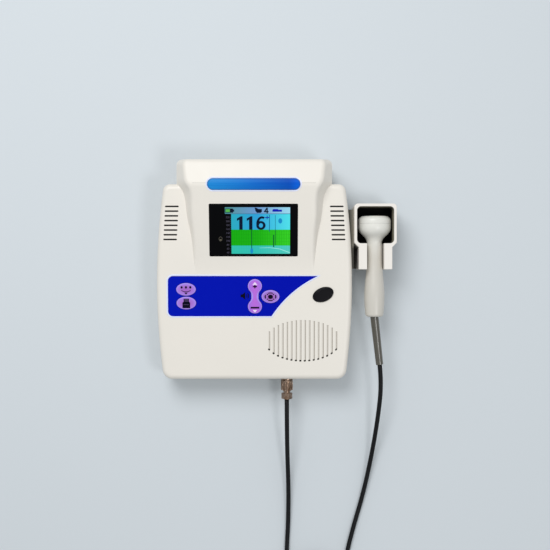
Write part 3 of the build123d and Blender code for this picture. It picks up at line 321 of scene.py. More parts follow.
def grown(name, tree, paint, line=(), closed=False, smooth_shade=False, **values):
    """Runs a Geometry Nodes tree once on a line of points; keeps the result as a plain mesh."""
    mesh = bpy.data.meshes.new(name)
    steps = [(k, k + 1) for k in range(len(line) - 1)] + ([(len(line) - 1, 0)] if closed else [])
    mesh.from_pydata(line, steps, [])
    made = in_scene(name, mesh)
    live = made.modifiers.new("grow", "NODES")
    live.node_group = tree
    keys = {item.name: item.identifier for item in tree.interface.items_tree if item.in_out == "INPUT"}
    for label, value in {**values, "Material": paint}.items():
        live[keys[label]] = value
    mesh = bpy.data.meshes.new_from_object(made.evaluated_get(bpy.context.evaluated_depsgraph_get()))
    made.modifiers.remove(live)
    made.data = mesh
    mesh.shade_smooth() if smooth_shade else mesh.shade_flat()
    return made


def band_along_a_line():
    """Tree: a strap of four sides or a rounded bead of more, swept along a line of points."""
    tree, given, result = empty_group("band_along_a_line", "Geometry", {
        "Geometry": "Geometry", "Width": "Float", "Height": "Float", "Sides": "Int", "Material": "Material",
    }, {"Geometry": "Geometry"})
    line = geometry(tree, "MeshToCurve", Mesh=given["Geometry"])[0]
    turn = calc(tree, "DIVIDE", math.pi, given["Sides"])
    reach = calc(tree, "DIVIDE", 0.5, calc(tree, "COSINE", turn))
    section = geometry(tree, "CurvePrimitiveCircle", Resolution=given["Sides"], Radius=reach)[0]
    section = geometry(tree, "Transform", Geometry=section, Rotation=shader(tree, "CombineXYZ", Z=turn)[0])[0]
    size = shader(tree, "CombineXYZ", X=given["Width"], Y=given["Height"], Z=1.0)[0]
    section = geometry(tree, "Transform", Geometry=section, Scale=size)[0]
    band = geometry(tree, "CurveToMesh", Curve=line, Profile_Curve=section, Fill_Caps=True)[0]
    give_painted(tree, band, given, result)
    return tree


def ring_bead(name, line, paint, width, height):
    """Rounded bead along a closed line of points."""
    return grown(name, band_tree, paint, line, closed=True, smooth_shade=True, Width=width, Height=height,
                 Sides=12)


def arc(centre, reach, start, end, steps):
    """Points on an ellipse with these half sizes, from one angle to another in degrees."""
    turns = [math.radians(start + (end - start) * k / steps) for k in range(steps + 1)]
    return [(centre[0] + reach[0] * math.cos(a), centre[1] + reach[1] * math.sin(a)) for a in turns]


band_tree = band_along_a_line()
tie_paint, tree, surface = material("tie_loops")
pile = shader(tree, "TexVoronoi", Vector=own_place(tree), Scale=1500.0)["Distance"]
set_on(tree, surface, Base_Color=mixed(tree, pile, rgb(22, 22, 24), rgb(52, 52, 56)), Roughness=0.9,
       Normal=bumped(tree, pile, 0.6, 0.0003))
inner_reach = coil_outer - lead_d * (coil_turns / 2 + 0.5) - tie_gap
outer_reach = coil_outer + lead_d / 2 + tie_gap
coil_top = 2 * lead_d + tie_room + tie_gap
lap_top = coil_top + 1.55 * tie_thick
middle = (inner_reach + outer_reach) / 2
bend = (tie_corner + tie_thick / 2,) * 2
tie_line = [(middle - 0.003, 0.0, coil_top + tie_thick / 2)]
for x, z, start in ((outer_reach - tie_corner, coil_top - tie_corner, 90),
                    (outer_reach - tie_corner, tie_room + tie_corner, 0),
                    (inner_reach + tie_corner, tie_room + tie_corner, 270),
                    (inner_reach + tie_corner, coil_top - tie_corner, 180)):
    tie_line += [(along, 0.0, up) for along, up in arc((x, z), bend, start, start - 90, 5)]
tie_line += [(middle - 0.005, 0.0, coil_top + tie_thick), (middle, 0.0, lap_top),
             (middle + tie_lap, 0.0, lap_top)]
for tie, turn in (("a", 100.0), ("b", 262.0)):
    strap = grown(f"coil_tie_{tie}", band_tree, tie_paint, tie_line, Width=tie_width, Height=tie_thick,
                  Sides=4)
    strap.data.transform(Matrix.Translation((*coil_centre, 0)) @ Matrix.Rotation(math.radians(turn), 4, "Z"))
    carried(strap, "console").name

# ---- Housing shells ----
# Two warm white ABS mouldings with a fine spark-eroded skin, joined on a parting line round
# the sides; a hairline step crosses the crest where two cores of the mould meet.


def product(tree, first, *others):
    """Product of numbers and sockets."""
    for value in others:
        first = calc(tree, "MULTIPLY", first, value)
    return first


coat_results = {"Colour": "Color", "Roughness": "Float", "Normal": "Vector"}


def moulded_skin():
    """Effect: plastic that is a little uneven in tone, with fine texture and hazy patches."""
    group, given, result = empty_group("moulded_skin", "Shader", {
        "Colour": "Color", "Unevenness": "Float", "Grain size": "Float", "Grain depth": "Float",
        "Polish": "Float", "Haze": "Float",
    }, coat_results)
    place = own_place(group)
    cloud, speck = noise(group, place, 14.0, 3.0), noise(group, place, 260.0)
    swing = calc(group, "ADD", product(group, cloud, 0.8), product(group, speck, 0.2))
    tone = calc(group, "ADD", 1.0, product(group, calc(group, "SUBTRACT", swing, 0.5), given["Unevenness"]))
    dyed = shader(group, "VectorMath", {"operation": "SCALE"}, n0=given["Colour"], Scale=tone)[0]
    wiped = noise(group, place, 30.0, 4.0, 1.0)
    haze = product(group, calc(group, "SUBTRACT", wiped, 0.5), given["Haze"])
    pits = noise(group, place, given["Grain size"], 1.0)
    set_on(group, result, Colour=dyed, Roughness=calc(group, "ADD", given["Polish"], haze),
           Normal=bumped(group, pits, given["Grain depth"]))
    return group


skin = moulded_skin()


def coat(tree, surface, effect, **sockets):
    """Runs an effect in a material and feeds its colour, roughness and normal to the shader."""
    worked = shader(tree, "Group", {"node_tree": effect}, **sockets)
    set_on(tree, surface, Base_Color=worked["Colour"], Roughness=worked["Roughness"], Normal=worked["Normal"])


def moulded(tree, surface, colour, uneven, grain, polish, haze, specular=0.5, **sockets):
    """Coats with the moulded skin, whose grain has a scale and a depth; sets shader sockets."""
    coat(tree, surface, skin, Colour=colour, Unevenness=uneven, Grain_size=grain[0], Grain_depth=grain[1],
         Polish=polish, Haze=haze)
    set_on(tree, surface, Specular_IOR_Level=specular, **sockets)


def repaint(paint, *names):
    """Gives CAD nodes this material."""
    for name in names:
        for slot in nodes[name].material_slots:
            slot.material = paint


def vector(tree, operation, *values):
    """Vector math node on vectors and sockets; returns its outputs."""
    return shader(tree, "VectorMath", {"operation": operation}, **{f"n{i}": v for i, v in enumerate(values)})


def between(tree, value, middle, reach):
    """1 where the value lies within this reach of the middle, else 0."""
    return calc(tree, "COMPARE", value, middle, reach)


def stained(tree, base, share, strength, colour):
    """Colour with a stain over it, where the share says and as strong as this."""
    return mixed(tree, product(tree, share, strength), base, colour)


console_middle, console_front, face_front_height, face_slope = -0.0264712, -0.12545, 0.0475, math.radians(4.0)
face_normal, face_offset = (0.0, -math.sin(face_slope), math.cos(face_slope)), 0.0561143
parting_height, parting_reach = 0.024, 0.00013
crest_y, crest_y_reach, crest_height, crest_x, crest_x_reach = 0.10765, 0.00025, 0.0715, -0.0265, 0.0725
grille_centre, grille_reach, grille_edge = (0.0312288, -0.07855, 0.0), (21.0, 37.0, 0.0), 1.08
vent_x, vent_x_reach, vent_slant, vent_y, vent_y_reach = 0.102945, 0.0086, 0.0607, 0.06185, 0.0209
rib_depth, hole_depth, cut_depth = 0.00025, 0.00117, 0.0045
housing_paint, tree, surface = material("housing_plastic")
place = own_place(tree)
axes = own_axes(tree)
parting = between(tree, axes["Z"], parting_height, parting_reach)
crest = product(tree, between(tree, axes["Y"], crest_y, crest_y_reach),
                calc(tree, "GREATER_THAN", axes["Z"], crest_height),
                between(tree, axes["X"], crest_x, crest_x_reach))
depth = vector(tree, "DOT_PRODUCT", place, face_normal)["Value"]
near = calc(tree, "GREATER_THAN", depth, face_offset - cut_depth)
sunk = product(tree, near, calc(tree, "LESS_THAN", depth, face_offset - rib_depth))
deep = product(tree, near, calc(tree, "LESS_THAN", depth, face_offset - hole_depth))
from_grille = vector(tree, "MULTIPLY", vector(tree, "SUBTRACT", place, grille_centre)[0], grille_reach)[0]
in_grille = calc(tree, "LESS_THAN", vector(tree, "LENGTH", from_grille)["Value"], grille_edge)
across = calc(tree, "ABSOLUTE", calc(tree, "SUBTRACT", axes["X"], console_middle))
across = calc(tree, "ADD", across, product(tree, axes["Y"], vent_slant))
in_vents = product(tree, between(tree, across, vent_x, vent_x_reach),
                   between(tree, axes["Y"], vent_y, vent_y_reach))
# Painted shade: the walls of the grille holes and vent slots are coloured near black, and each louvre's floor
# is coloured darker towards its deep side.
painted_hole_shade = product(tree, deep, calc(tree, "MAXIMUM", in_grille, in_vents))
shade = calc(tree, "POWER", ramp(tree, depth, face_offset - 0.0012, face_offset - 0.0001, 1.0, 0.0), 1.7)
tint = mixed(tree, product(tree, sunk, in_grille, shade), rgb(231, 226, 217), rgb(132, 122, 108))
tint = stained(tree, tint, painted_hole_shade, 0.96, rgb(26, 18, 14))
tint = stained(tree, tint, parting, 0.55, rgb(120, 116, 108))
tint = stained(tree, tint, crest, 0.5, rgb(150, 147, 140))
moulded(tree, surface, tint, uneven=0.05, grain=(1900.0, 0.12), polish=0.42, haze=0.12)
repaint(housing_paint, "front_shell", "rear_shell", "battery_door")

# ---- Vent screens ----
# Two strips of black woven dust cloth, cut to the slant of the slots and glued under them
# in both shoulders; the dark cloth also stands for the shade inside the slots, as painted shade.
cloth_x, cloth_y, cloth_levels = 0.0992, 0.0618, (-3.1, -2.75)
cloth_outline = [(-8.0, -21.4), (9.6, -21.4), (7.7, 21.2), (-10.4, 21.2)]
millimetre = Matrix.Scale(0.001, 4)


def face_height_at(x, y):
    """Height of the sloping face over a place of the plan."""
    return face_front_height + (y - console_front) * math.tan(face_slope)


def face_frame(x, y):
    """Millimetre frame on the sloping face over a place of the plan."""
    return Matrix.Translation((x, y, face_height_at(x, y))) @ Matrix.Rotation(face_slope, 4, "X") @ millimetre


def bar(width, length, centre=(0.0, 0.0)):
    """Outline of a rectangle."""
    sides = ((-1, -1), (1, -1), (1, 1), (-1, 1))
    return [(centre[0] + x * width / 2, centre[1] + y * length / 2) for x, y in sides]


def printed(name, outlines, place, levels, paint, body):
    """Thin flat pieces with these outlines, between two levels of a frame; UV map in its units."""
    bm = bmesh.new()
    layer = bm.loops.layers.uv.new("flat")
    for outline in outlines:
        lower, upper = ([bm.verts.new((x, y, level)) for x, y in outline] for level in levels)
        bm.faces.new(reversed(lower))
        bm.faces.new(upper)
        for k in range(len(outline)):
            j = (k + 1) % len(outline)
            bm.faces.new((lower[k], lower[j], upper[j], upper[k]))
    for face in bm.faces:
        for loop in face.loops:
            loop[layer].uv = loop.vert.co.xy
    bm.transform(place)
    return carried(finished(name, bm, paint, smooth_shade=False), body)


# The cloth is dark also as painted shade inside the vent slots.
cloth_and_slot_shade_paint, tree, surface = material("dust_cloth_and_slot_shade")
weave = shader(tree, "TexWave", Vector=own_place(tree), Scale=900.0, Distortion=1.0)["Fac"]
set_on(tree, surface, Base_Color=mixed(tree, weave, rgb(26, 23, 22), rgb(44, 40, 38)), Roughness=0.9)
for side, mark in ((-1, "left"), (1, "right")):
    outline = [(side * x, y) for x, y in cloth_outline][::side]
    place = face_frame(console_middle + side * cloth_x, cloth_y)
    printed(f"vent_screen_and_shade_{mark}", [outline], place, cloth_levels, cloth_and_slot_shade_paint, "console")

# ---- Display ----
# Black glass flush with the tilted face; the lit picture shows a heart rate, a chart with a
# green band and a status row. A small sensor eye sits in the wide left border.
window_tilt, glass_top, picture_shift = math.radians(15.0), 0.9, (4.8, -0.5, 0.0)
picture_half, green_top, green_foot, status_foot, scale_top, scale_pitch = 38.7, 1.2, -18.1, 20.5, 16.0, 4.75
window_low, window_high = (Vector(corner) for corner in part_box("display_window"))
window_frame = Matrix.Translation((window_low + window_high) / 2) @ Matrix.Rotation(window_tilt, 4, "X")
window_frame = window_frame @ millimetre @ Matrix.Translation((0.0, 0.0, glass_top))
picture_frame = window_frame @ Matrix.Translation(picture_shift)


def plastic(name, colour, **finish):
    """Material with the moulded skin in one colour."""
    made, tree, surface = material(name)
    moulded(tree, surface, colour, **finish)
    return made


def oval(width, length, sides=48, centre=(0.0, 0.0)):
    """Outline of an ellipse."""
    return arc(centre, (width / 2, length / 2), 0, 360, sides)[:-1]


def curved_band(outer, inner, start, end, centre=(0.0, 0.0), steps=16):
    """Outline between two ellipses of these half sizes, from one angle to another."""
    return arc(centre, outer, start, end, steps) + arc(centre, inner, end, start, steps)


def lit(name, colour, glow=1.0):
    """Material of a lit part of the picture, under the glass's gloss."""
    made, tree, surface = material(name)
    if not isinstance(colour, tuple):
        colour = colour(tree)
    set_on(tree, surface, Base_Color=rgb(4, 5, 8), Emission_Color=colour, Emission_Strength=glow,
           Roughness=0.12, Specular_IOR_Level=0.05)
    return made


def fade_of(tree, share, first, middle, last):
    """Colour that fades through three colours as a share goes from 0 to 1."""
    early = mixed(tree, ramp(tree, share, 0.0, 0.5), first, middle)
    return mixed(tree, ramp(tree, share, 0.5, 1.0), early, last)


def picture_colours(tree):
    """Bands of the picture, by millimetres from its centre."""
    spot = shader(tree, "SeparateXYZ", Vector=shader(tree, "UVMap", {"uv_map": "flat"})[0])
    x, y = spot["X"], spot["Y"]
    across = ramp(tree, x, -picture_half, picture_half)
    sky = fade_of(tree, across, rgb(44, 178, 190), rgb(48, 164, 222), rgb(82, 230, 240))
    row = fade_of(tree, across, rgb(84, 152, 152), rgb(112, 156, 212), rgb(160, 222, 244))
    rule_x = calc(tree, "LESS_THAN", calc(tree, "PINGPONG", calc(tree, "ADD", x, picture_half), 1.4), 0.3)
    rule_y = calc(tree, "LESS_THAN", calc(tree, "PINGPONG", calc(tree, "ADD", y, 0.7), 2.1), 0.22)
    rules = product(tree, calc(tree, "MAXIMUM", rule_x, rule_y), 0.35)
    leaf = fade_of(tree, across, rgb(22, 176, 12), rgb(28, 180, 16), rgb(56, 214, 36))
    leaf = mixed(tree, rules, leaf, rgb(10, 140, 10))
    sea = fade_of(tree, across, rgb(50, 198, 174), rgb(52, 196, 184), rgb(84, 210, 196))
    sea = stained(tree, sea, rules, 0.35, rgb(30, 150, 160))
    chart = mixed(tree, calc(tree, "LESS_THAN", y, green_top), sky, leaf)
    chart = mixed(tree, calc(tree, "LESS_THAN", y, green_foot), chart, sea)
    chart = mixed(tree, calc(tree, "GREATER_THAN", y, status_foot), chart, row)
    return mixed(tree, between(tree, y, 20.3, 0.35), chart, rgb(62, 122, 160))


def row_of_ticks():
    """Tree: equal bars in a row along X."""
    tree, given, result = empty_group("row_of_ticks", "Geometry", {
        "Count": "Int", "Pitch": "Float", "Length": "Float", "Width": "Float", "Height": "Float",
        "Material": "Material",
    }, {"Geometry": "Geometry"})
    step = shader(tree, "CombineXYZ", X=given["Pitch"])[0]
    row = geometry(tree, "MeshLine", Count=given["Count"], Offset=step)["Mesh"]
    size = shader(tree, "CombineXYZ", X=given["Width"], Y=given["Length"], Z=given["Height"])[0]
    tick = geometry(tree, "MeshCube", Size=size)["Mesh"]
    give_painted(tree, geometry(tree, "InstanceOnPoints", Points=row, Instance=tick)[0], given, result)
    return tree


glass_paint = plastic("window_glass", rgb(5, 5, 7), uneven=0.4, grain=(300.0, 0.0), polish=0.07, haze=0.05,
                      specular=0.06)
repaint(glass_paint, "display_window")
ink_paint, tick_paint = lit("picture_ink", rgb(8, 22, 46)), lit("picture_ticks", rgb(78, 75, 92))
one = [(-1.2, -8.1), (2.8, -8.1), (2.8, 8.1), (0.6, 8.1), (-3.9, 5.4), (-3.9, 2.4), (-1.2, 4.2)]
bowl, bowl_centre = ((5.5, 5.3), (2.4, 2.7)), (0.0, -2.9)
six = [curved_band(*bowl, 90, 270, bowl_centre), curved_band(*bowl, -90, 90, bowl_centre),
       curved_band((6.7, 9.0), (3.6, 6.4), 60, 184, (1.2, -0.9))]
digits = [[(x + shift, y + 9.2) for x, y in stroke]
          for shift, strokes in ((-20.4, [one]), (-8.8, [one]), (4.0, six)) for stroke in strokes]
battery = [(-38.0, 21.6), (-28.8, 21.6), (-28.8, 22.8), (-27.4, 22.8),
           (-27.4, 25.4), (-28.8, 25.4), (-28.8, 26.6), (-38.0, 26.6)]
horn = [(-3.4, 27.6), (-1.6, 27.6), (1.2, 26.0), (5.2, 26.0),
        (5.2, 22.6), (3.4, 21.4), (-0.6, 21.4), (-2.4, 23.6)]
four = [bar(1.5, 6.8, (11.4, 24.2)), bar(5.6, 1.4, (10.3, 22.8)),
        [(7.3, 22.6), (9.1, 22.6), (12.0, 27.6), (10.5, 27.6)]]
rules = [bar(1.0, 4.4, (11.4, 15.9)), bar(0.8, 20.4, (14.0, 9.0)), bar(0.55, 17.6, (21.0, 10.0))]
beats = [bar(0.9, 24.2, (-7.0, -11.0)), bar(1.2, 15.0, (19.0, -12.6)), bar(0.6, 19.0, (21.2, -8.3))]
bars = [bar(11.2, 2.4, (23.2, 24.0)), bar(6.0, 0.9, (21.2, 25.5)), bar(5.0, 1.2, (11.4, 15.8))]
spots = [oval(4.6, 6.4, 24, (26.8, 11.8)), oval(3.4, 6.6, 24, (-7.0, -24.6))]
trace = [(2.2, -20.9), (14.6, -20.4), (26.4, -21.9), (38.2, -26.4),
         (38.2, -27.2), (26.0, -22.5), (14.4, -20.9), (2.2, -21.2)]
for name, outlines, levels, paint in (
    ("picture", [bar(76.8, 56.2)], (-0.05, 0.03), lit("picture_lit", picture_colours, 0.95)),
    ("scale_column", [bar(7.4, 48.4, (-34.7, -3.9))], (0.0, 0.06), glass_paint),
    ("rate", digits, (0.02, 0.07), ink_paint),
    ("marks", [battery, horn, *four], (0.02, 0.065), ink_paint),
    ("lines", rules, (0.02, 0.055), lit("picture_line", rgb(16, 96, 132))),
    ("beats", beats, (0.02, 0.06), lit("picture_beat", rgb(4, 84, 44))),
    ("bars", bars, (0.02, 0.075), lit("picture_navy", rgb(14, 30, 176))),
    ("spots", spots, (0.02, 0.06), lit("picture_spot", rgb(26, 140, 200))),
    ("charge", [bar(5.0, 3.4, (-35.0, 24.1))], (0.02, 0.09), lit("picture_charge", rgb(92, 190, 84), 0.9)),
    ("trace", [trace], (0.02, 0.07), lit("picture_trace", rgb(160, 236, 230))),
):
    printed(f"lcd_{name}", outlines, picture_frame, levels, paint, "console")
ticks = grown("lcd_ticks", row_of_ticks(), tick_paint, Count=19, Pitch=scale_pitch / 2, Length=0.9, Width=0.5,
              Height=0.05)
first_tick = Matrix.Translation((-31.6, scale_top - 9 * scale_pitch, 0.07))
ticks.data.transform(picture_frame @ first_tick @ Matrix.Rotation(math.pi / 2, 4, "Z"))
carried(ticks, "console")
bm = bmesh.new()
for row in range(10):
    written = bpy.data.curves.new("scale_number", "FONT")
    written.body = str(220 - 20 * row)
    written.size, written.extrude, written.resolution_u = 3.1, 0.025, 3
    written.align_x, written.align_y = "CENTER", "CENTER"
    holder = bpy.data.objects.new("scale_number", written)
    number = bpy.data.meshes.new_from_object(holder)
    number.transform(picture_frame @ Matrix.Translation((-35.1, scale_top - scale_pitch * row, 0.07)))
    bm.from_mesh(number)
    bpy.data.objects.remove(holder)
bmesh.ops.remove_doubles(bm, verts=bm.verts, dist=1e-7)
carried(finished("lcd_scale_numbers", bm, tick_paint, smooth_shade=False), "console")
eye_frame = window_frame @ Matrix.Translation((-39.1, -10.6, 0.0))
eye_finish = {"uneven": 0.4, "grain": (900.0, 0.05), "haze": 0.2}
eye_paint = plastic("sensor_eye", rgb(62, 57, 44), polish=0.35, **eye_finish)
glint_paint = plastic("sensor_glint", rgb(112, 105, 84), polish=0.3, **eye_finish)
eye_rim = ring_bead("sensor_rim", [(x, y, 0.03) for x, y in oval(3.7, 5.0, 32)], eye_paint, 0.7, 0.3)
eye_rim.data.transform(eye_frame)
carried(eye_rim, "console")
# Painted highlight: a pale disc low on the sensor eye stands for a glint on its lens.
glint = oval(2.0, 1.5, 16, (0.2, -1.1))
printed("sensor_painted_glint", [glint], eye_frame, (0.0, 0.05), glint_paint, "console")

# ---- Accent strip ----
# Translucent blue lens over the crest, streaked across, with a pale moulded bead round it
# that is laid over the rounded ridge.
strip_centre, strip_length, strip_width = (-0.0267712, 0.10635), 0.1092, 0.0138
strip_bead, bead_gap, bead_height = 0.0017, 0.0003, 0.0004
strip_paint, tree, surface = material("strip_lens")
axes = own_axes(tree)
fade = ramp(tree, axes["X"], -0.079, 0.025)
blue = fade_of(tree, fade, rgb(34, 142, 214), rgb(20, 112, 200), rgb(4, 70, 176))
blue = mixed(tree, ramp(tree, axes["X"], 0.014, 0.024), blue, rgb(6, 98, 216))
streak = noise(tree, stretched(tree, own_place(tree), (14.0, 520.0, 520.0)), 1.0, 3.0)
blue = stained(tree, blue, ramp(tree, streak, 0.35, 0.75), 0.4, rgb(4, 62, 172))
past_end = calc(tree, "ABSOLUTE", calc(tree, "SUBTRACT", axes["X"], strip_centre[0]))
past_end = calc(tree, "MAXIMUM", calc(tree, "SUBTRACT", past_end, (strip_length - strip_width) / 2), 0.0)
offset = calc(tree, "SUBTRACT", axes["Y"], strip_centre[1])
from_line = calc(tree, "ADD", product(tree, past_end, past_end), product(tree, offset, offset))
rim_shade = ramp(tree, calc(tree, "SQRT", from_line), strip_width * 0.33, strip_width / 2)
blue = stained(tree, blue, rim_shade, 0.6, rgb(26, 84, 142))
moulded(tree, surface, blue, uneven=0.12, grain=(800.0, 0.03), polish=0.3, haze=0.1, specular=0.08)
repaint(strip_paint, "accent_strip")


def stadium(centre, length, width, steps=20):
    """Outline of a bar with round ends."""
    radius, reach = width / 2, (length - width) / 2
    right = arc((centre[0] + reach, centre[1]), (radius, radius), -90, 90, steps)
    return right + arc((centre[0] - reach, centre[1]), (radius, radius), 90, 270, steps)


shell_tree = BVHTree.FromObject(nodes["front_shell"], bpy.context.evaluated_depsgraph_get())


def crest_height_at(x, y):
    """Height of the front shell's outside over a place of the plan."""
    return shell_tree.ray_cast(Vector((x, y, 0.2)), Vector((0, 0, -1)))[0].z


bead_paint = plastic("pale_bead", rgb(222, 229, 255), uneven=0.08, grain=(1500.0, 0.05), polish=0.3, haze=0.1)
bead_line = stadium(strip_centre, strip_length + strip_bead + bead_gap, strip_width + strip_bead + bead_gap)
bead_line = [(x, y, crest_height_at(x, y)) for x, y in bead_line]
bead = ring_bead("strip_bead", bead_line, bead_paint, strip_bead - bead_gap, bead_height)
carried(bead, "console")

# ---- Key panel ----
# Polycarbonate overlay printed deep blue from behind and stuck in a shallow recess; its bare
# border shows as a pale line round the blue. A dark speaker sign stands beside the rocker.
panel_left, panel_right, panel_right_front = -0.1296712, 0.0488288, -0.0061712
panel_front, panel_rear, panel_border, panel_corner = -0.0492633, -0.0012633, 0.0019, 0.006
border_gap, border_rise, edge_middle = 0.00024, 0.00012, (0.0190288, -0.020501)
panel_paint, tree, surface = material("printed_overlay")
fade = ramp(tree, own_axes(tree)["X"], panel_left, panel_right)
ink = mixed(tree, fade, rgb(2, 20, 172), rgb(0, 12, 166))
dots = shader(tree, "TexVoronoi", Vector=own_place(tree), Scale=1300.0)["Distance"]
dots = ramp(tree, dots, 0.2, 0.7)
ink = stained(tree, ink, dots, 0.1, rgb(20, 44, 196))
moulded(tree, surface, ink, uneven=0.1, grain=(2600.0, 0.06), polish=0.34, haze=0.1, specular=0.03)
repaint(panel_paint, "keypad_overlay")


def circle_through(a, b, c):
    """Centre and radius of the circle through three points."""
    (ax, ay), (bx, by), (cx, cy) = a, b, c
    d = 2 * (ax * (by - cy) + bx * (cy - ay) + cx * (ay - by))
    x = ((ax**2 + ay**2) * (by - cy) + (bx**2 + by**2) * (cy - ay) + (cx**2 + cy**2) * (ay - by)) / d
    y = ((ax**2 + ay**2) * (cx - bx) + (bx**2 + by**2) * (ax - cx) + (cx**2 + cy**2) * (bx - ax)) / d
    return (x, y), math.hypot(ax - x, ay - y)


def grown_outline(points, amount, limit=2.2):
    """Outline moved outwards; a sharp corner reaches at most this many times as far."""
    area = sum(a[0] * b[1] - b[0] * a[1] for a, b in zip(points, points[1:] + points[:1]))
    turn = -1 if area > 0 else 1
    moved = []
    for k, (x, y) in enumerate(points):
        before, after = points[k - 1], points[(k + 1) % len(points)]
        first = Vector((x - before[0], y - before[1])).normalized()
        second = Vector((after[0] - x, after[1] - y)).normalized()
        normal = Vector((-(first.y + second.y), first.x + second.x)).normalized() * turn
        spread = max(normal.dot(Vector((-first.y, first.x)) * turn), 1 / limit)
        moved.append((x + normal.x * amount / spread, y + normal.y * amount / spread))
    return moved


def banded(name, inner, outer, height, rise, paint, root=-0.0004):
    """Closed bead between two outlines with equal counts, laid on a surface of this height."""
    bm = bmesh.new()
    rows = []
    for share, lift in ((0.0, root), (0.0, 0.6 * rise), (0.25, rise),
                        (0.75, rise), (1.0, 0.6 * rise), (1.0, root)):
        row = []
        for (ax, ay), (bx, by) in zip(inner, outer):
            x, y = ax + (bx - ax) * share, ay + (by - ay) * share
            row.append(bm.verts.new((x, y, height(x, y) + lift)))
        rows.append(row)
    for lower, upper in zip(rows, rows[1:] + rows[:1]):
        for k in range(len(lower)):
            j = (k + 1) % len(lower)
            bm.faces.new((lower[k], lower[j], upper[j], upper[k]))
    bmesh.ops.recalc_face_normals(bm, faces=bm.faces)
    return finished(name, bm, paint)


tip, heel = (panel_right, panel_rear), (panel_right_front, panel_front)
edge_centre, edge_radius = circle_through(tip, edge_middle, heel)
edge_from, edge_to = (math.degrees(math.atan2(y - edge_centre[1], x - edge_centre[0])) % 360
                      for x, y in (tip, heel))
panel_line = arc(edge_centre, (edge_radius, edge_radius), edge_from, edge_to, 40)
for corner_y, start in ((panel_front + panel_corner, 270), (panel_rear - panel_corner, 180)):
    corner = (panel_left + panel_corner, corner_y)
    panel_line += arc(corner, (panel_corner, panel_corner), start, start - 90, 8)
border = banded("panel_border", grown_outline(panel_line, border_gap),
                grown_outline(panel_line, panel_border), face_height_at, border_rise, bead_paint)
carried(border, "console")
print_finish = {"grain": (2600.0, 0.04), "polish": 0.35, "haze": 0.1}
print_dark = plastic("dark_print", rgb(6, 5, 28), uneven=0.3, specular=0.06, **print_finish)
sound_mark = [[(-3.4, -1.4), (-1.6, -1.4), (1.2, -3.8), (1.2, 3.8), (-1.6, 1.4), (-3.4, 1.4)]]
for reach in (2.4, 4.0):
    sound_mark.append(curved_band((reach, reach), (reach - 0.8, reach - 0.8), -45, 45, (1.0, 0.0), 9))
sound_frame = face_frame(-0.0389, -0.02495) @ Matrix.Scale(1.2, 4)
printed("sound_mark", sound_mark, sound_frame, (0.24, 0.3), print_dark, "console")

# ---- Oval keys ----
# Three silicone keys with pale edges and a lilac printed cap each. They carry plain signs:
# dots over a curve, a bottle, and a ring with rays.
key_top, cap_root = 1.0, 0.7
ink_levels, ink_top = (key_top + 0.05, key_top + 0.12), 0.04
# Painted shade: below its top, each key's rounded side is coloured dark blue violet, as the shade in the gap
# round it; the top stays pale lavender.
key_edge_and_painted_side_shade, tree, surface = material("key_rubber_with_painted_side_shade")
depth = vector(tree, "DOT_PRODUCT", own_place(tree), face_normal)["Value"]
top = ramp(tree, depth, face_offset + 0.0003, face_offset + 0.0009)
moulded(tree, surface, mixed(tree, top, rgb(52, 34, 132), rgb(168, 140, 240)), uneven=0.08,
        grain=(2000.0, 0.1), polish=0.4, haze=0.1)


def cap_paint(name, half_width, half_length, middle, rim):
    """Printed cap whose colour fades from its middle to its rim, by millimetres on the cap."""
    made, tree, surface = material(name)
    spot = shader(tree, "UVMap", {"uv_map": "flat"})[0]
    spot = vector(tree, "MULTIPLY", spot, (1 / half_width, 1 / half_length, 0.0))[0]
    share = calc(tree, "POWER", vector(tree, "LENGTH", spot)["Value"], 2.0)
    moulded(tree, surface, mixed(tree, share, middle, rim), uneven=0.14, grain=(2000.0, 0.1), polish=0.42,
            haze=0.12, specular=0.3)
    return made


cap_print = cap_paint("key_lilac", 10.6, 6.5, rgb(160, 98, 192), rgb(166, 126, 222))
cap_pink = cap_paint("key_pink", 9.6, 6.7, rgb(158, 100, 182), rgb(164, 124, 218))
print_grey = plastic("grey_print", rgb(84, 62, 112), uneven=0.3, **print_finish)
repaint(key_edge_and_painted_side_shade, "filter_key", "record_key", "mode_key")
filter_frame = face_frame(-0.1081712, -0.0174231)
record_frame = face_frame(-0.1078712, -0.0337831)
mode_frame = face_frame(-0.0072712, -0.0260021)
for key, place, length, width, paint in (("filter", filter_frame, 21.3, 13.0, cap_print),
                                         ("record", record_frame, 21.3, 13.0, cap_print),
                                         ("mode", mode_frame, 19.2, 13.4, cap_pink)):
    for part, inset, rise in (("cap", 0.0, 0.05), ("dish", 1.6, 0.08)):
        outline, levels = oval(length - inset, width - inset), (cap_root, key_top + rise)
        printed(f"{key}_{part}", [outline], place, levels, paint, f"{key}_key")

signs = [oval(2.7, 3.0, 20, (-5.2, 2.7)), oval(2.7, 3.0, 20, (0.0, 2.7)), oval(2.7, 3.0, 20, (5.2, 2.7)),
         curved_band((6.4, 3.6), (5.7, 2.8), 205, 335, (0.0, 0.6)), [(-2.2, -3.6), (2.2, -3.6), (0.0, -6.0)]]
printed("filter_sign", signs, filter_frame, ink_levels, print_dark, "filter_key")
bottle = [(-4.6, -5.9), (4.6, -5.9), (4.6, 0.8), (3.2, 1.8),
          (3.2, 5.5), (-3.2, 5.5), (-3.2, 1.8), (-4.6, 0.8)]
printed("record_sign", [bottle], record_frame, ink_levels, print_dark, "record_key")
bands = [bar(4.6, 0.8, (0.0, 4.3)), bar(4.6, 0.8, (0.0, 2.7)), bar(6.4, 0.4, (0.0, -1.6))]
printed("record_bands", bands, record_frame, (ink_levels[1], ink_levels[1] + ink_top), print_grey,
        "record_key")
rays = [oval(6.0, 5.4, 24)]
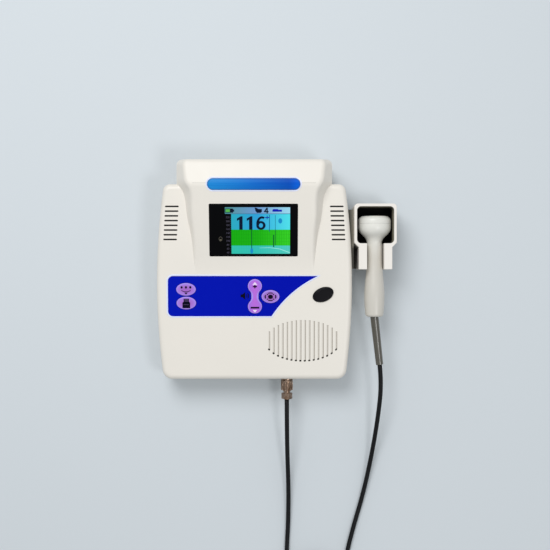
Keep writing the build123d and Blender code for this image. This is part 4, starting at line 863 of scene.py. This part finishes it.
for quarter in range(4):
    a = math.radians(45 + 90 * quarter)
    ray = bar(2.3, 1.2, (5.05, 0.0))
    ray = [(x * math.cos(a) - y * math.sin(a), x * math.sin(a) + y * math.cos(a)) for x, y in ray]
    rays.append([(x, 0.8 * y) for x, y in ray])
    rays.append(curved_band((7.1, 5.2), (5.6, 4.0), 90 * quarter - 26, 90 * quarter + 26, steps=10))
printed("mode_sign", rays, mode_frame, ink_levels, print_dark, "mode_key")

# ---- Volume rocker ----
# A dumbbell-shaped key with the same pale edge and a violet cap. Both ends carry a white
# arrowhead, with a dark plus at the rear and a dark minus bar at the front.
rocker_lobe, rocker_reach, rocker_neck, sweep_share = 7.35, 12.2, 3.2, 0.864
rocker_frame = face_frame(-0.0258712, -0.0257)
cap_violet = cap_paint("rocker_violet", 7.4, 60.0, rgb(182, 104, 216), rgb(158, 108, 226))
print_white = plastic("white_print", rgb(236, 220, 246), uneven=0.05, **print_finish)
# The rocker's side takes the same painted shade as the keys.
repaint(key_edge_and_painted_side_shade, "volume_rocker")


def dumbbell(lobe, reach, neck, steps=14):
    """Outline of two round lobes that sweep into a neck."""
    sweep = ((sweep_share * reach) ** 2 - lobe**2 + neck**2) / (lobe - neck) / 2
    turn = math.degrees(math.atan2(reach, neck + sweep))
    gap = math.hypot(neck + sweep, reach) - lobe
    half = arc((0.0, reach), (lobe, lobe), -turn, 180 + turn, 2 * steps)
    half += arc((-(neck + sweep), 0.0), (gap, gap), turn, -turn, steps)[1:-1]
    return half + [(-x, -y) for x, y in half]


cap_outline = dumbbell(rocker_lobe, rocker_reach, rocker_neck)
printed("rocker_cap", [cap_outline], rocker_frame, (cap_root, ink_levels[0]), cap_violet,
        "volume_rocker")
arrows = [[(-2.9, 13.9), (2.9, 13.9), (0.0, 17.4)], [(-2.7, -16.2), (2.7, -16.2), (0.0, -19.2)]]
printed("rocker_arrows", arrows, rocker_frame, ink_levels, print_white, "volume_rocker")
marks = [bar(10.4, 2.1, (0.0, -13.4)), bar(5.0, 1.5, (0.0, 11.9)), bar(1.5, 4.2, (0.0, 11.9))]
printed("rocker_marks", marks, rocker_frame, ink_levels, print_dark, "volume_rocker")

# ---- Power button ----
# Black moulded push button, oval and turned 22 degrees, dished inside a thin rim bead that
# belongs to the same moulding.
button_length, button_width, button_turn, bead_inset, bead_level = 25.4, 16.4, math.radians(22.0), 4.25, 2.12
button_paint = plastic("button_black", rgb(14, 13, 17), uneven=0.4, grain=(1500.0, 0.15), polish=0.33,
                       haze=0.2, specular=0.12)
repaint(button_paint, "power_button")
bead_line = [(x, y, bead_level) for x, y in oval(button_length - bead_inset, button_width - bead_inset, 64)]
button_bead = ring_bead("button_bead", bead_line, button_paint, 0.9, 0.76)
button_bead.data.transform(face_frame(0.0556288, -0.0237) @ Matrix.Rotation(button_turn, 4, "Z"))
carried(button_bead, "power_button")

# ---- Probe socket and plug ----
# Bayonet plug and bulkhead socket in nickel over brass, brown in patches over most of the
# metal as a painted reflection of brown surroundings: the coupling ring is fluted, the clamp
# nut smooth behind it.


def tarnished_metal():
    """Effect: plated metal with streaks round it and brown tarnish in patches."""
    group, given, result = empty_group("tarnished_metal", "Shader", {
        "Metal": "Color", "Tarnish": "Color", "Amount": "Float", "Polish": "Float",
    }, coat_results)
    place = own_place(group)
    patch = ramp(group, noise(group, place, 210.0, 4.0, 0.6), 0.38, 0.72)
    share = product(group, patch, given["Amount"])
    lines = noise(group, stretched(group, place, (60.0, 2600.0, 60.0)), 1.0)
    rough = calc(group, "ADD", given["Polish"], product(group, share, 0.25))
    rough = calc(group, "ADD", rough, product(group, calc(group, "SUBTRACT", lines, 0.5), 0.2))
    set_on(group, result, Colour=mixed(group, share, given["Metal"], given["Tarnish"]), Roughness=rough,
           Normal=bumped(group, lines, 0.12))
    return group


metal = tarnished_metal()


def metal_paint(name, bright, tarnish, amount, polish):
    """Material of plated or bare metal."""
    made, tree, surface = material(name)
    set_on(tree, surface, Metallic=1.0)
    coat(tree, surface, metal, Metal=bright, Tarnish=tarnish, Amount=amount, Polish=polish)
    return made


# Painted reflection: the brown laid on with the tarnish effect covers most of the plug and socket, standing
# for brown surroundings reflected in the plating.
nickel = metal_paint("nickel_painted_brown_reflection", rgb(160, 138, 122), rgb(84, 58, 36), amount=0.9, polish=0.22)
repaint(nickel, "plug_ring", "plug_clamp_nut", "plug_body", "probe_socket", "socket_nut")

# ---- Cradle ----
# White tray with a cup for the probe's head, lined with black foam, screwed to a dark
# grained bracket on the console's side wall.
cup_x, cup_y, cup_reach, cup_rim = 0.11813, 0.0599, 0.0222, 0.0574
cradle_paint, tree, surface = material("cradle_plastic")
axes = own_axes(tree)
# Painted shade: the cup's inner walls below the rim are coloured warm grey.
cup_inside_painted_shade = product(tree, between(tree, axes["X"], cup_x, cup_reach), between(tree, axes["Y"], cup_y, cup_reach),
                 calc(tree, "LESS_THAN", axes["Z"], cup_rim))
white = stained(tree, rgb(234, 229, 222), cup_inside_painted_shade, 0.85, rgb(142, 138, 124))
moulded(tree, surface, white, uneven=0.06, grain=(1500.0, 0.12), polish=0.4, haze=0.12)
repaint(cradle_paint, "cradle")
foam_paint, tree, surface = material("black_foam")
place = own_place(tree)
cells = shader(tree, "TexVoronoi", Vector=place, Scale=900.0)["Distance"]
foam = stained(tree, rgb(14, 13, 13), cells, 0.8, rgb(38, 36, 36))
foam = stained(tree, foam, noise(tree, place, 120.0, 3.0), 0.4, rgb(24, 22, 22))
axes = own_axes(tree)
# Painted light: near its top, the foam on the right and rear walls of the cup is coloured pale warm grey, as
# light falling into the cup.
right_side, rear_side = ramp(tree, axes["X"], 0.1375, 0.14), ramp(tree, axes["Y"], 0.0795, 0.082, 0.0, 0.6)
painted_light_on_foam = product(tree, ramp(tree, axes["Z"], 0.03, 0.0495), calc(tree, "MAXIMUM", right_side, rear_side))
set_on(tree, surface, Base_Color=mixed(tree, painted_light_on_foam, foam, rgb(128, 124, 106)), Roughness=0.92,
       Normal=bumped(tree, cells, 0.5, 0.0004), Specular_IOR_Level=0.15)
repaint(foam_paint, "cradle_liner")
bracket_paint, tree, surface = material("bracket_grained")
axes = own_axes(tree)
# Painted shade: the bracket is coloured near black beside the console's side wall and lighter towards the
# cradle; it is also coloured darker towards its front end.
bracket_gap_shade_tone = mixed(tree, ramp(tree, axes["X"], 0.0868, 0.0925), rgb(30, 28, 24), rgb(138, 134, 120))
bracket_gap_shade_tone = mixed(tree, ramp(tree, axes["Y"], 0.036, 0.032), bracket_gap_shade_tone, rgb(62, 57, 49))
moulded(tree, surface, bracket_gap_shade_tone, uneven=0.25, grain=(700.0, 0.5), polish=0.5, haze=0.15)
repaint(bracket_paint, "cradle_bracket")

# ---- Probe ----
# Hand probe in glossy white ABS: a flared head with a capped ring, a waisted grip, and a
# grey sleeve that guards the lead. A soft sound window closes the head's end.
seam_y, split_height = 0.06155, 0.042
probe_paint, tree, surface = material("probe_plastic")
axes = own_axes(tree)
seam = between(tree, axes["Y"], seam_y, 0.00012)
split = product(tree, between(tree, axes["Z"], split_height, 0.00008),
                calc(tree, "LESS_THAN", axes["Y"], seam_y))
line = calc(tree, "MAXIMUM", product(tree, seam, 0.6), product(tree, split, 0.4))
# Painted light: the probe is coloured lighter towards its head, against the shade of the cup.
white = mixed(tree, ramp(tree, axes["Y"], 0.02, 0.05), rgb(205, 201, 192), rgb(226, 225, 218))
moulded(tree, surface, mixed(tree, line, white, rgb(112, 110, 104)), uneven=0.05, grain=(1500.0, 0.03),
        polish=0.34, haze=0.14)
repaint(probe_paint, "probe_housing", "probe_cap")
window_paint = plastic("sound_window_rubber", rgb(206, 204, 196), uneven=0.12, grain=(900.0, 0.05),
                       polish=0.3, haze=0.2, Subsurface_Weight=0.1, Subsurface_Scale=0.001)
repaint(window_paint, "sound_window")
sleeve_paint, tree, surface = material("sleeve_grey")
drawn = noise(tree, stretched(tree, own_place(tree), (700.0, 25.0, 700.0)), 1.0)
moulded(tree, surface, mixed(tree, drawn, rgb(56, 53, 45), rgb(84, 80, 68)), uneven=0.15, grain=(900.0, 0.05),
        polish=0.3, haze=0.1, specular=0.8, Coat_Weight=0.6, Coat_Roughness=0.22)
repaint(sleeve_paint, "strain_relief")

# ---- Underside ----
# Four rubber feet glued in shallow seats, and zinc plated screws: four deep in the case's
# bores, one in the battery door and the small ones inside.
rubber_paint = plastic("foot_rubber", rgb(42, 42, 44), uneven=0.3, grain=(600.0, 0.4), polish=0.75, haze=0.1)
repaint(rubber_paint, "feet")
steel = metal_paint("screw_steel", rgb(150, 150, 150), rgb(96, 92, 86), amount=0.5, polish=0.3)
repaint(steel, "case_screws", "door_screw", "board_screws", "display_screws", "keypad_screws",
        "speaker_screws", "cradle_screws", "bracket_screws")

# ---- Inside ----
# Boards, display module, switches, speaker and battery: hardly seen, but in their own
# finishes where the grille and the vents let the eye through. The speaker frame is dark
# moulding, as painted shade behind the grille holes.
board_paint, tree, surface = material("board_green")
tracks = shader(tree, "TexBrick", Vector=own_place(tree), Scale=160.0, Mortar_Size=0.03)["Fac"]
moulded(tree, surface, mixed(tree, tracks, rgb(18, 78, 42), rgb(34, 108, 60)), uneven=0.2, grain=(500.0, 0.1),
        polish=0.3, haze=0.1)
repaint(board_paint, "main_board", "display_board", "keypad_board", "probe_board")
dark_paint = plastic("dark_moulding", rgb(34, 34, 37), uneven=0.3, grain=(900.0, 0.3), polish=0.5, haze=0.15)
# Painted shade: the speaker frame takes the dark moulding so that the grille holes read dark.
repaint(dark_paint, "charge_jack", "display_module", "key_switches", "power_switch", "crystal_backing",
        "speaker_frame")
paper_paint, tree, surface = material("cone_paper")
fibre = noise(tree, own_place(tree), 500.0, 4.0, 1.5)
set_on(tree, surface, Base_Color=mixed(tree, fibre, rgb(16, 15, 15), rgb(44, 41, 39)), Roughness=0.85,
       Normal=bumped(tree, fibre, 0.4, 0.0002))
repaint(paper_paint, "speaker_cone")
ferrite = metal_paint("magnet_ferrite", rgb(58, 58, 60), rgb(40, 38, 38), amount=0.6, polish=0.55)
repaint(ferrite, "speaker_magnet")
wrap_paint = plastic("cell_wrap", rgb(40, 120, 84), uneven=0.15, grain=(300.0, 0.1), polish=0.28, haze=0.15)
repaint(wrap_paint, "battery_cells")
ceramic_paint = plastic("crystal_ceramic", rgb(206, 190, 150), uneven=0.12, grain=(900.0, 0.2), polish=0.5,
                        haze=0.15)
repaint(ceramic_paint, "crystals")
